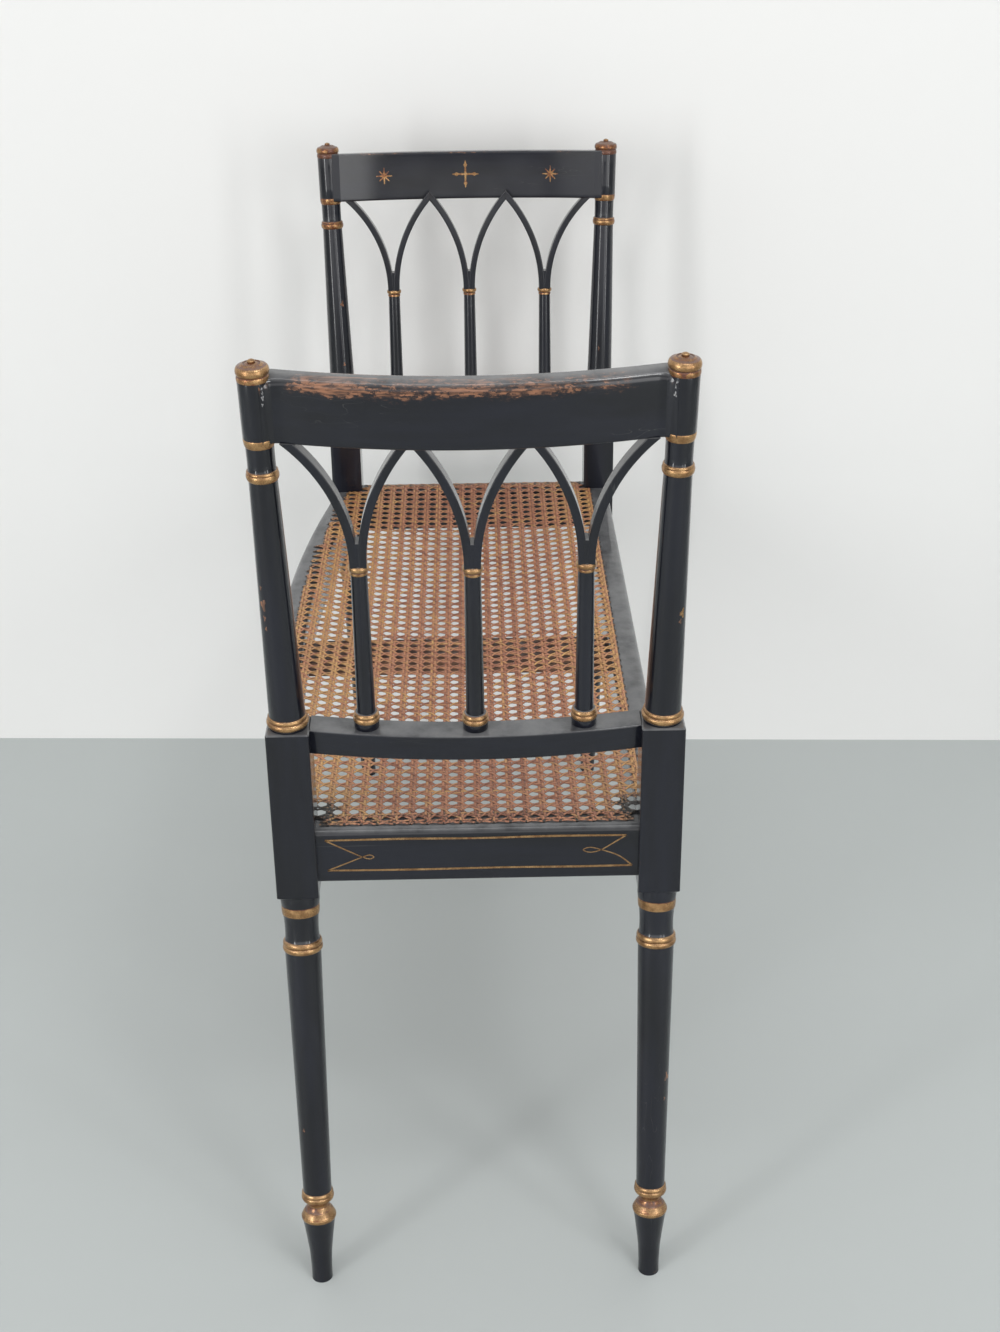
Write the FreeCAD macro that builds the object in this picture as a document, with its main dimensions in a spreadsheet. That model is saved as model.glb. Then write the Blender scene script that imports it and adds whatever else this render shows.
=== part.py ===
"""Black and gilt window seat with a caned seat and two raised ends of pointed arches.

Millimetres. X runs along the length, the front is -Y and Z is up. The origin is on the floor, in the
middle of the overall box. Each end leans outwards: its pieces are drawn in an end frame, whose origin is
midway between the two blocks at their tops, with x outwards, y along the end and z up the lean.
"""
import FreeCAD, Part
import Sketcher
import math
import os
import re
from FreeCAD import Vector

SIZES = (
    # Corner posts
    ("overall_height", 810, "floor to the top of the caps"),
    ("post_x", 382, "block axis from the middle of the length"),
    ("post_y", 146, "block axis from the middle of the width"),
    ("block_side", 34, "side of the square block"),
    ("block_bottom", 358.5, "underside of the block above the floor"),
    ("block_top", 509, "top of the block above the floor"),
    ("foot_splay", 62, "outward set of the foot along the length"),
    ("foot_toe", 4, "inward set of the foot across the width"),
    ("head_lean", 21, "outward lean of the column along the length"),
    ("head_flare", 6, "outward lean of the column across the width"),
    ("socket_bury", 4, "length of a turned end that runs into the block"),
    # Legs: heights run up the leg from the floor
    ("foot_trim", 4, "length below the floor line that is cut away flat"),
    ("foot_radius", 9, "foot at the floor"),
    ("foot_shank", 25, "floor to where the foot starts to widen"),
    ("foot_top_radius", 12.5, "foot under the bulb"),
    ("foot_height", 58, "floor to the underside of the bulb"),
    ("bulb_radius", 14.5, "widest part of the bulb"),
    ("bulb_swell", 3.5, "height over which the bulb swells"),
    ("cove_radius", 9.2, "waist of the cove over the bulb"),
    ("cove_fall", 9, "widest part of the bulb to the waist"),
    ("cove_rise", 8.5, "waist to the edge of the ankle ring"),
    ("ankle_radius", 13.7, "edge of the ankle ring"),
    ("ankle_slope", 6, "edge of the ankle ring to the shaft"),
    ("leg_bottom_radius", 12.1, "shaft over the ankle ring"),
    ("leg_top_radius", 14.9, "shaft under the leg ring"),
    ("leg_ring_level", 307, "underside of the leg ring"),
    ("leg_ring_height", 10, "height of the leg ring"),
    ("leg_ring_radius", 16.7, "edge of the leg ring"),
    ("leg_neck_radius", 14.1, "neck over the leg ring"),
    ("leg_band_level", 338, "underside of the flat band"),
    ("leg_band_radius", 15.5, "flat band, up to the block"),
    # Columns: heights run up the column from the block
    ("base_radius", 15.6, "foot of the column on the block"),
    ("base_ring_height", 11.5, "height of the base ring"),
    ("base_ring_radius", 16.8, "edge of the base ring"),
    ("column_bottom_radius", 14.4, "shaft over the base ring"),
    ("column_top_radius", 10.6, "shaft under the upper ring"),
    ("upper_ring_drop", 29.5, "underside of the upper ring below the crest"),
    ("upper_ring_height", 8.5, "height of the upper ring"),
    ("upper_ring_radius", 12.4, "edge of the upper ring"),
    ("neck_radius", 10.3, "neck over the upper ring"),
    ("flare_height", 7.5, "height of the flare under the head"),
    ("flare_drop", 3.4, "start of the flare below the underside of the crest"),
    ("head_radius", 11.6, "head at the crest rail"),
    ("cap_roll_height", 10, "rolled edge of the cap"),
    ("cap_roll_radius", 12, "widest part of the rolled edge"),
    ("cap_rim_radius", 9.8, "top of the rolled edge"),
    ("cap_button_radius", 4, "button on the cap"),
    ("cap_button_height", 3, "height of the button over the rim"),
    # Crest rails, in the end frame
    ("shoulder_reach", 7, "shoulder from the post's centre line to the crest's end"),
    ("head_length", 62.1, "underside of the crest to the top of the cap"),
    ("crest_height", 50.8, "height of the rail"),
    ("crest_thick", 16, "thickness of the rail"),
    ("crest_face", 5, "outer face beyond the column axis at the shoulders"),
    ("crest_bow", 18, "outward bow in plan"),
    ("crest_dip", 0.5, "drop of the middle"),
    ("crest_round", 8.5, "round of the outer top edge"),
    ("crest_tenon_length", 11, "tenon into the column head"),
    ("crest_tenon_thick", 7, "thickness of that tenon"),
    ("crest_tenon_height", 30, "height of that tenon"),
    # Lower rails, in the end frame
    ("lower_height", 21.5, "height of the rail"),
    ("lower_depth", 24, "depth of the rail"),
    ("lower_face", 8, "outer face beyond the block axis at the blocks"),
    ("lower_bow", 13.5, "outward bow in plan"),
    ("lower_tenon_length", 14, "tenon into the block"),
    ("lower_tenon_thick", 9, "thickness of that tenon"),
    ("lower_tenon_height", 12, "height of that tenon"),
    # Seat rails
    ("rail_top", 419, "top of the seat rails above the floor"),
    ("rail_height", 47.5, "height of the seat rails"),
    ("rail_thick", 28, "thickness of the seat rails"),
    ("rail_setback", 6, "outer face of end and back rails inside the block face"),
    ("front_setback", 3, "the same for the front rail at the blocks"),
    ("front_bow", 33.6, "outward bow of the front rail in plan"),
    ("rail_tenon_length", 14, "tenon into the block"),
    ("rail_tenon_thick", 9, "thickness of that tenon"),
    ("rail_tenon_height", 31, "height of that tenon"),
    ("rail_tenon_out", 4, "tenon outside the block axis, so the two mortises clear"),
    ("brace_width", 42, "width of the cross brace"),
    ("brace_height", 20, "height of the cross brace"),
    ("brace_tenon_length", 12, "tenon into the front and back rails"),
    ("brace_tenon_width", 30, "width of that tenon"),
    ("brace_tenon_height", 10, "height of that tenon"),
    # Cane
    ("cane_thick", 1.6, "thickness of the woven cane"),
    ("cane_margin", 12.5, "outer faces of the rails to the edge of the cane"),
    ("cane_clear", 1.5, "gap from the cane to the blocks"),
    ("cane_pitch", 39.9, "gap to gap, every third gap of the weave"),
    ("cane_gap", 26, "side of a gap"),
    ("cane_border", 7, "least web round the gaps, inside the seat opening"),
    # Spindles, in the end frame: heights run up from the lower rail
    ("half_arch", 54.5, "side spindle to the end of the crest"),
    ("arch_inset", 4.3, "end of the crest to the half arch under it"),
    ("spindle_set", 2.5, "outer spindles beyond the block axis"),
    ("spindle_bow", 4.5, "middle spindle beyond the outer ones"),
    ("stub_side", 7, "square stub into the lower rail, which stops the spindle turning"),
    ("stub_length", 12, "length of that stub"),
    ("plinth_radius", 10, "plinth and gilt ring on the lower rail"),
    ("plinth_height", 13.5, "height of plinth and ring"),
    ("spindle_radius", 6.4, "shaft of the spindle"),
    ("arch_rise", 98.2, "spindle head to the underside of the crest"),
    ("collar_height", 4, "height of the collar"),
    ("collar_radius", 8, "gilt collar"),
    # Arch ribs, in the end frame
    ("rib_width", 6.4, "width of a rib seen from the end"),
    ("rib_depth", 12, "depth of a rib along the seat"),
    ("inner_rib_radius", 149, "inside radius of the ribs of the whole arches"),
    ("tail_length", 7, "tail into the spindle head"),
    ("tail_width", 4.2, "width of the tail"),
    ("tail_depth", 5.6, "depth of the tail"),
    ("housing_depth", 1.5, "housing in the crest behind the rib tips"),
    ("housing_clear", 0.9, "clearance round the rib tips"),
    # Joints
    ("joint_clear", 0.2, "clearance of each tenon in its mortise"),
    ("seat_gap", 0.5, "gap where a straight end meets a curved face"),
)

doc = FreeCAD.newDocument("WindowSeat")
sheet = doc.addObject("Spreadsheet::Sheet", "Sizes")
for row, (alias, value, note) in enumerate(SIZES, start=1):
    sheet.set(f"A{row}", note)
    sheet.set(f"B{row}", str(value))
    sheet.setAlias(f"B{row}", alias)
doc.recompute()

ALIASES = {alias for alias, _, _ in SIZES}
PIECES = []

# Measures that several pieces share
RISE = "(overall_height - block_top)"
LEAN = f"atan(head_lean / {RISE})"
COLUMN_LENGTH = f"sqrt({RISE}^2 + head_lean^2 + head_flare^2)"
LEG_LENGTH = "sqrt(block_bottom^2 + foot_splay^2 + foot_toe^2)"
HALF_BLOCK = "(block_side / 2)"
FRONT_REACH = f"(post_y + {HALF_BLOCK} - front_setback + front_bow)"
BACK_REACH = f"(post_y + {HALF_BLOCK})"
SHIFT = f"(({FRONT_REACH} - {BACK_REACH}) / 2)"
RAIL_BOTTOM = "(rail_top - rail_height)"
RAIL_TENON_LOW = "(rail_top - (rail_height + rail_tenon_height) / 2)"
RAIL_TENON_HIGH = "(rail_top - (rail_height - rail_tenon_height) / 2)"
INNER_X = f"(post_x - {HALF_BLOCK})"
INNER_Y = f"(post_y - {HALF_BLOCK})"
CREST_HALF = "(post_y - shoulder_reach)"
CREST_BOTTOM = f"({COLUMN_LENGTH} - head_length)"
SPINDLE_SPACING = f"({CREST_HALF} - half_arch)"
UPPER_RING = f"({CREST_BOTTOM} - upper_ring_drop)"
HEAD_LEVEL = f"({CREST_BOTTOM} - arch_rise)"
COLLAR_LEVEL = f"({HEAD_LEVEL} - collar_height)"
BRACE_FRONT = f"({FRONT_REACH} - rail_thick - seat_gap)"
BRACE_BACK = f"(post_y + {HALF_BLOCK} - rail_setback - rail_thick)"


def tie(text):
    """Return an expression in which each size name points at its cell."""
    return re.sub(r"[a-z_]+", lambda m: f"Sizes.{m[0]}" if m[0] in ALIASES else m[0], text)


def number(text):
    """Return the present value of an expression."""
    return float(sheet.evalExpression(tie(text)))


def place(x, y, z, turn="rotationz(0)"):
    """Return a placement expression in the frame of the whole seat."""
    return f"placement(vector({x}; {y} + {SHIFT}; {z}); {turn})"


def end_place(end, x, y, z, turn="rotationz(0)"):
    """Return a placement expression for a point x, y, z of the end frame of one end."""
    along = f"(post_x + ({x}) * cos({LEAN}) + ({z}) * sin({LEAN}))"
    up = f"(block_top - ({x}) * sin({LEAN}) + ({z}) * cos({LEAN}))"
    if end == "near":
        return place(along, y, up, f"rotationy({LEAN}) * {turn}")
    return place(f"-{along}", y, up, f"rotationz(180) * rotationy({LEAN}) * {turn}")


def new_body(label, where):
    """Start a piece."""
    body = doc.addObject("PartDesign::Body", label)
    body.Label = label
    body.setExpression("Placement", tie(where))
    PIECES.append(body)
    return body


def lifted(height):
    """Return the offset of a sketch that stands a height above its plane."""
    return f"placement(vector(0; 0; {height}); rotationz(0))"


def new_sketch(body, role, offset=None):
    """Start a sketch on one of the body's own planes."""
    sketch = body.newObject("Sketcher::SketchObject", f"{body.Name}_sketch")
    plane = next(item for item in body.Origin.OriginFeatures if item.Role == role)
    sketch.AttachmentSupport = (plane, [""])
    sketch.MapMode = "FlatFace"
    if offset:
        sketch.setExpression("AttachmentOffset", tie(offset))
    return sketch


def arc_radius(start, end, bulge):
    """Return the radius expression of an arc that stands off its chord by a bulge."""
    chord = f"(({end[0]}) - ({start[0]}))^2 + (({end[1]}) - ({start[1]}))^2"
    return f"({chord} + 4 * ({bulge})^2) / (8 * ({bulge}))"


def draw(sketch, corners):
    """Add a closed outline and tie its corners and arcs to the sheet.

    A corner is (x, y), (x, y, kind) or (x, y, kind, size), where the kind tells how the edge to the next
    corner runs: "out" and "in" stand off the chord by the size, to the right or left of the way there, and
    "right" and "left" take the size as the radius. A "taper" is a straight spline, which turns into one
    plain face however long it is.
    """
    points = [Vector(number(corner[0]), number(corner[1]), 0) for corner in corners]
    edges = []
    for here, corner in enumerate(corners):
        after = (here + 1) % len(corners)
        start, end = points[here], points[after]
        if len(corner) == 2:
            edge = sketch.addGeometry(Part.LineSegment(start, end))
        elif corner[2] == "taper":
            edge = sketch.addGeometry(Part.BSplineCurve([start, end], None, None, False, 1))
        else:
            kind, size = corner[2], corner[3]
            radius = size if kind in ("right", "left") else arc_radius(corner, corners[after], size)
            half_chord = (end - start).Length / 2
            stand_off = number(size)
            if kind in ("right", "left"):
                stand_off = number(size) - math.sqrt(number(size) ** 2 - half_chord ** 2)
            side = 1 if kind in ("out", "right") else -1
            normal = Vector(end.y - start.y, start.x - end.x, 0).normalize()
            middle = (start + end) * 0.5 + normal * (side * stand_off)
            edge = sketch.addGeometry(Part.Arc(start, middle, end))
            index = sketch.addConstraint(Sketcher.Constraint("Radius", edge, number(radius)))
            sketch.setExpression(f"Constraints[{index}]", tie(radius))
        first = 1 if sketch.getPoint(edge, 1).isEqual(start, 1e-6) else 2
        edges.append((edge, first, 3 - first))
    for here, corner in enumerate(corners):
        edge, first, _ = edges[here]
        before, _, last = edges[here - 1]
        sketch.addConstraint(Sketcher.Constraint("Coincident", before, last, edge, first))
        for kind, axis, size in (("DistanceX", -2, corner[0]), ("DistanceY", -1, corner[1])):
            if size == "0":
                sketch.addConstraint(Sketcher.Constraint("PointOnObject", edge, first, axis))
            else:
                rule = Sketcher.Constraint(kind, -1, 1, edge, first, number(size))
                index = sketch.addConstraint(rule)
                sketch.setExpression(f"Constraints[{index}]", tie(size))


def add_axis(sketch, start, end):
    """Add a construction line to turn about, tied to the sheet at both ends, and return its name."""
    points = [Vector(number(x), number(y), 0) for x, y in (start, end)]
    line = sketch.addGeometry(Part.LineSegment(*points), True)
    for which, (x, y) in ((1, start), (2, end)):
        for kind, size in (("DistanceX", x), ("DistanceY", y)):
            index = sketch.addConstraint(Sketcher.Constraint(kind, -1, 1, line, which, number(size)))
            sketch.setExpression(f"Constraints[{index}]", tie(size))
    return "Axis0"


def rectangle(sketch, left, low, right, high):
    """Add a rectangle given by its four sides."""
    draw(sketch, [(left, low), (right, low), (right, high), (left, high)])


def extrude(body, kind, sketch, length, reverse=False):
    """Add a Pad or a Pocket of one sketch."""
    feature = body.newObject(f"PartDesign::{kind}", f"{body.Name}_{kind}")
    feature.Profile = sketch
    feature.setExpression("Length", tie(length))
    feature.Reversed = reverse
    return feature


def turn(body, sketch, outline):
    """Add a turned shape: half its outline, as radius and height, goes round the sketch's upright axis."""
    corners = []
    for here, (radius, height) in enumerate(outline):
        next_radius, next_height = outline[(here + 1) % len(outline)]
        slanted = radius != next_radius and height != next_height
        corners.append((radius, height, "taper") if slanted else (radius, height))
    draw(sketch, corners)
    feature = body.newObject("PartDesign::Revolution", f"{body.Name}_turning")
    feature.Profile = sketch
    feature.ReferenceAxis = (sketch, ["V_Axis"])
    feature.Angle = 360


def leg_outline():
    """Return half the outline of a leg, from the foot up into the block."""
    bulb = "(foot_height + bulb_swell)"
    cove = f"({bulb} + cove_fall)"
    ankle = f"({cove} + cove_rise)"
    ring_top = "(leg_ring_level + leg_ring_height)"
    leg_end = f"({LEG_LENGTH} + socket_bury)"
    return [
        ("0", "-foot_trim"),
        ("foot_radius", "-foot_trim"),
        ("foot_radius", "foot_shank"),
        ("foot_top_radius", "foot_height"),
        ("bulb_radius", bulb),
        ("cove_radius", cove),
        ("ankle_radius", ankle),
        ("leg_bottom_radius", f"{ankle} + ankle_slope"),
        ("leg_top_radius", "leg_ring_level"),
        ("leg_ring_radius", "leg_ring_level + leg_ring_height / 2"),
        ("leg_neck_radius", ring_top),
        ("leg_band_radius", "leg_band_level"),
        ("leg_band_radius", leg_end),
        ("0", leg_end),
    ]


def column_outline():
    """Return half the outline of a column, from inside the block up to the button of the cap."""
    rim = f"({COLUMN_LENGTH} - cap_button_height)"
    return [
        ("0", "-socket_bury"),
        ("base_radius", "-socket_bury"),
        ("base_radius", "0"),
        ("base_ring_radius", "base_ring_height / 2"),
        ("column_bottom_radius", "base_ring_height"),
        ("column_top_radius", UPPER_RING),
        ("upper_ring_radius", f"{UPPER_RING} + upper_ring_height / 2"),
        ("neck_radius", f"{UPPER_RING} + upper_ring_height"),
        ("neck_radius", f"{CREST_BOTTOM} - flare_drop"),
        ("head_radius", f"{CREST_BOTTOM} - flare_drop + flare_height"),
        ("head_radius", f"{rim} - cap_roll_height"),
        ("cap_roll_radius", f"{rim} - cap_roll_height / 2"),
        ("cap_rim_radius", rim),
        ("cap_button_radius", rim),
        ("cap_button_radius", COLUMN_LENGTH),
        ("0", COLUMN_LENGTH),
    ]


def make_post(label, end, side):
    """Make a corner post; side is -1 at the front and 1 at the back.

    It is drawn at the near end, with x outwards, from an origin on the floor under the block. A far
    post is the near post of the other side, turned half round.
    """
    x = "post_x" if end == "near" else "-post_x"
    half_turn = "rotationz(0)" if end == "near" else "rotationz(180)"
    body = new_body(label, place(x, f"{side} * post_y", "0", half_turn))
    out = side if end == "near" else -side
    inward = out < 0

    block = new_sketch(body, "XY_Plane", lifted("block_bottom"))
    rectangle(block, f"-{HALF_BLOCK}", f"-{HALF_BLOCK}", HALF_BLOCK, HALF_BLOCK)
    extrude(body, "Pad", block, "block_top - block_bottom")

    leg_tilt = f"rotationx({-out} * atan(foot_toe / sqrt(block_bottom^2 + foot_splay^2)))"
    leg_turn = f"rotationz(atan(foot_splay / block_bottom)) * {leg_tilt}"
    leg = new_sketch(body, "XZ_Plane", f"placement(vector(foot_splay; 0; {out} * foot_toe); {leg_turn})")
    turn(body, leg, leg_outline())

    column_tilt = f"rotationx({-out} * atan(head_flare / sqrt({RISE}^2 + head_lean^2)))"
    column_turn = f"rotationz(-{LEAN}) * {column_tilt}"
    column = new_sketch(body, "XZ_Plane", f"placement(vector(0; block_top; 0); {column_turn})")
    turn(body, column, column_outline())

    shoulder_at = f"{out} * shoulder_reach"
    shoulder_place = f"placement(vector(0; block_top; {shoulder_at}); rotationz(-{LEAN}))"
    shoulder = new_sketch(body, "XZ_Plane", shoulder_place)
    rectangle(shoulder, "crest_face - crest_thick", CREST_BOTTOM,
              "crest_face", f"{CREST_BOTTOM} + crest_height")
    extrude(body, "Pad", shoulder, "head_flare + shoulder_reach", reverse=not inward)

    mortise = new_sketch(body, "XZ_Plane", shoulder_place)
    middle = "(crest_face - crest_thick / 2)"
    half_thick = "(crest_tenon_thick / 2 + joint_clear)"
    half_height = "(crest_tenon_height / 2 + joint_clear)"
    level = f"({CREST_BOTTOM} + crest_height / 2)"
    rectangle(mortise, f"{middle} - {half_thick}", f"{level} - {half_height}",
              f"{middle} + {half_thick}", f"{level} + {half_height}")
    extrude(body, "Pocket", mortise, "crest_tenon_length + joint_clear", reverse=inward)

    lower_place = f"placement(vector(0; block_top; {out} * {HALF_BLOCK}); rotationz(-{LEAN}))"
    lower = new_sketch(body, "XZ_Plane", lower_place)
    middle = "(lower_face - lower_depth / 2)"
    half_thick = "(lower_tenon_thick / 2 + joint_clear)"
    half_height = "(lower_tenon_height / 2 + joint_clear)"
    rectangle(lower, f"{middle} - {half_thick}", f"-lower_height / 2 - {half_height}",
              f"{middle} + {half_thick}", f"-lower_height / 2 + {half_height}")
    extrude(body, "Pocket", lower, "lower_tenon_length + joint_clear", reverse=inward)

    low = f"{RAIL_TENON_LOW} - joint_clear"
    high = f"{RAIL_TENON_HIGH} + joint_clear"
    half_thick = "(rail_tenon_thick / 2 + joint_clear)"
    end_mortise = new_sketch(body, "XZ_Plane", lifted(f"{out} * {HALF_BLOCK}"))
    rectangle(end_mortise, f"rail_tenon_out - {half_thick}", low, f"rail_tenon_out + {half_thick}", high)
    extrude(body, "Pocket", end_mortise, "rail_tenon_length + joint_clear", reverse=inward)

    long_mortise = new_sketch(body, "YZ_Plane", lifted(f"-{HALF_BLOCK}"))
    rectangle(long_mortise, f"{out} * rail_tenon_out - {half_thick}", low,
              f"{out} * rail_tenon_out + {half_thick}", high)
    extrude(body, "Pocket", long_mortise, "rail_tenon_length + joint_clear", reverse=True)

    floor = new_sketch(body, "XY_Plane")
    reach = "3 * foot_radius"
    rectangle(floor, f"foot_splay - {reach}", f"-{reach}", f"foot_splay + {reach}", reach)
    extrude(body, "Pocket", floor, "3 * foot_trim")


def add_end_tenons(body, half_length, length, sides):
    """Add a tenon to each end of a rail that runs along y; sides are its left, low, right and high."""
    for sign in (-1, 1):
        tenon = new_sketch(body, "XZ_Plane", lifted(f"{-sign} * {half_length}"))
        rectangle(tenon, *sides)
        extrude(body, "Pad", tenon, length, reverse=sign > 0)


def make_crest_rail(end):
    """Make a crest rail: bowed in plan, dipped in the middle and round on its outer top edge.

    Bow and dip together are one bend about an axis that leans towards the seat.
    """
    body = new_body(f"crest_rail_{end}", end_place(end, "0", "0", CREST_BOTTOM))
    inner = "(crest_face - crest_thick)"
    section = new_sketch(body, "XZ_Plane")
    outside = "(crest_bow + crest_face)"
    top = "(crest_height - crest_dip)"
    draw(section, [
        (f"crest_bow + {inner}", "-crest_dip"),
        (outside, "-crest_dip"),
        (outside, f"{top} - crest_round", "right", "crest_round"),
        (f"{outside} - crest_round", top),
        (f"crest_bow + {inner}", top),
    ])
    drop = "(crest_bow^2 + crest_dip^2)"
    far_off = f"(({CREST_HALF}^2 - {drop}) / (2 * {drop}))"
    axis = (f"-crest_bow * {far_off}", f"crest_dip * {far_off}")
    bend = body.newObject("PartDesign::Revolution", f"{body.Name}_bend")
    bend.Profile = section
    along = (f"{axis[0]} + crest_dip", f"{axis[1]} + crest_bow")
    bend.ReferenceAxis = (section, [add_axis(section, axis, along)])
    bend.Midplane = True
    bend.setExpression("Angle", tie(f"5 * atan(crest_bow / {CREST_HALF})"))
    for sign in (-1, 1):
        shoulder = new_sketch(body, "XZ_Plane", lifted(f"{-sign} * {CREST_HALF}"))
        rectangle(shoulder, f"{inner} - crest_thick", "-crest_height / 2", f"{outside} + crest_thick",
                  "crest_height * 3 / 2")
        extrude(body, "Pocket", shoulder, CREST_HALF, reverse=sign < 0)

    middle = "(crest_face - crest_thick / 2)"
    low = "(crest_height - crest_tenon_height) / 2"
    add_end_tenons(body, CREST_HALF, "crest_tenon_length", (
        f"{middle} - crest_tenon_thick / 2", low,
        f"{middle} + crest_tenon_thick / 2", "(crest_height + crest_tenon_height) / 2"))

    apex = f"({SPINDLE_SPACING} / 2)"
    outer = "(inner_rib_radius + rib_width)"
    peak = f"(sqrt({outer}^2 - ({outer} - {apex})^2) - arch_rise)"
    start = f"({apex} - {outer} + sqrt({outer}^2 - (arch_rise - crest_dip)^2))"
    under = "(-crest_dip - 2 * housing_clear)"
    for sign in (-1, 1):
        housing = new_sketch(body, "YZ_Plane", lifted(inner))
        draw(housing, [
            (f"{sign} * {apex} - {start} - 2 * housing_clear", under),
            (f"{sign} * {apex} + {start} + 2 * housing_clear", under),
            (f"{sign} * {apex} + {start} + housing_clear", "-crest_dip"),
            (f"{sign} * {apex}", f"{peak} + housing_clear"),
            (f"{sign} * {apex} - {start} - housing_clear", "-crest_dip"),
        ])
        depth = f"spindle_set + spindle_bow + rib_depth / 2 + housing_depth - {inner}"
        extrude(body, "Pocket", housing, depth, reverse=True)


def make_lower_rail(end):
    """Make a lower rail, bowed in plan, with mortises for the three spindles."""
    body = new_body(f"lower_rail_{end}", end_place(end, "0", "0", "0"))
    plan = new_sketch(body, "XY_Plane", lifted("-lower_height"))
    inner = "(lower_face - lower_depth)"
    draw(plan, [
        ("lower_face", f"-{INNER_Y}", "out", "lower_bow"),
        ("lower_face", INNER_Y),
        (inner, INNER_Y, "in", "lower_bow"),
        (inner, f"-{INNER_Y}"),
    ])
    extrude(body, "Pad", plan, "lower_height")

    middle = "(lower_face - lower_depth / 2)"
    add_end_tenons(body, INNER_Y, "lower_tenon_length", (
        f"{middle} - lower_tenon_thick / 2", "-(lower_height + lower_tenon_height) / 2",
        f"{middle} + lower_tenon_thick / 2", "-(lower_height - lower_tenon_height) / 2"))

    half = "(stub_side / 2 + joint_clear)"
    for x, y in spindle_spots():
        mortise = new_sketch(body, "XY_Plane")
        rectangle(mortise, f"{x} - {half}", f"{y} - {half}", f"{x} + {half}", f"{y} + {half}")
        extrude(body, "Pocket", mortise, "stub_length + joint_clear")


def spindle_spots():
    """Return x and y of the front, middle and back spindle in the end frame."""
    return [
        ("spindle_set", f"-{SPINDLE_SPACING}"),
        ("spindle_set + spindle_bow", "0 * half_arch"),
        ("spindle_set", SPINDLE_SPACING),
    ]


def make_spindle(label, end, x, y):
    """Make a turned spindle with a square stub and the socket for two rib tails."""
    body = new_body(label, end_place(end, x, y, "0"))
    turn(body, new_sketch(body, "XZ_Plane"), [
        ("0", "0"),
        ("plinth_radius", "0"),
        ("plinth_radius", "plinth_height"),
        ("spindle_radius", "plinth_height"),
        ("spindle_radius", COLLAR_LEVEL),
        ("collar_radius", COLLAR_LEVEL),
        ("collar_radius", HEAD_LEVEL),
        ("0", HEAD_LEVEL),
    ])
    stub = new_sketch(body, "XY_Plane")
    half = "(stub_side / 2)"
    rectangle(stub, f"-{half}", f"-{half}", half, half)
    extrude(body, "Pad", stub, "stub_length", reverse=True)
    socket = new_sketch(body, "XY_Plane", lifted(HEAD_LEVEL))
    half_depth = "(tail_depth / 2 + joint_clear)"
    half_width = "(tail_width + joint_clear)"
    rectangle(socket, f"-{half_depth}", f"-{half_width}", half_depth, half_width)
    extrude(body, "Pocket", socket, "tail_length + joint_clear")


def make_rib(label, end, x, y, whole_arch, to_front):
    """Make an arch rib that springs upright from a spindle head and curves towards one side."""
    flip = to_front if end == "near" else not to_front
    half_turn = "rotationz(180)" if flip else "rotationz(0)"
    body = new_body(label, end_place(end, x, y, HEAD_LEVEL, half_turn))
    if whole_arch:
        inside = "inner_rib_radius"
        outside = f"({inside} + rib_width)"
        tip = f"({SPINDLE_SPACING} / 2)"
        low = (tip, f"sqrt({inside}^2 - ({outside} - {tip})^2)")
        high = (tip, f"sqrt({outside}^2 - ({outside} - {tip})^2)")
    else:
        top = "(arch_rise - seat_gap)"
        span = "(half_arch - arch_inset)"
        outside = f"(({span}^2 + {top}^2 - rib_width^2) / (2 * ({span} - rib_width)))"
        inside = f"({outside} - rib_width)"
        low = (f"{outside} - sqrt({inside}^2 - {top}^2)", top)
        high = (f"{outside} - sqrt({outside}^2 - {top}^2)", top)
    outline = new_sketch(body, "YZ_Plane", lifted("-rib_depth / 2"))
    draw(outline, [
        ("0", "0"),
        ("rib_width", "0", "left", inside),
        low,
        (*high, "right", outside),
    ])
    extrude(body, "Pad", outline, "rib_depth")
    tail = new_sketch(body, "YZ_Plane", lifted("-tail_depth / 2"))
    rectangle(tail, "0", "-tail_length", "tail_width", "0")
    extrude(body, "Pad", tail, "tail_depth")


def make_end(end):
    """Make the rails, spindles and ribs of one raised end."""
    make_crest_rail(end)
    make_lower_rail(end)
    ribs = 0
    for name, (x, y) in zip(("front", "middle", "back"), spindle_spots()):
        make_spindle(f"spindle_{end}_{name}", end, x, y)
        for to_front in (True, False):
            ribs += 1
            outermost = (name == "front" and to_front) or (name == "back" and not to_front)
            make_rib(f"rib_{end}_{ribs}", end, x, y, not outermost, to_front)


def make_end_rail(end):
    """Make the straight seat rail across one end."""
    turned = "rotationz(0)" if end == "near" else "rotationz(180)"
    body = new_body(f"end_rail_{end}", place("post_x" if end == "near" else "-post_x", "0", "0", turned))
    outer = f"({HALF_BLOCK} - rail_setback)"
    plan = new_sketch(body, "XY_Plane", lifted(RAIL_BOTTOM))
    rectangle(plan, f"{outer} - rail_thick", f"-{INNER_Y}", outer, INNER_Y)
    extrude(body, "Pad", plan, "rail_height")
    add_end_tenons(body, INNER_Y, "rail_tenon_length", (
        "rail_tenon_out - rail_tenon_thick / 2", RAIL_TENON_LOW,
        "rail_tenon_out + rail_tenon_thick / 2", RAIL_TENON_HIGH))


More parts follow.
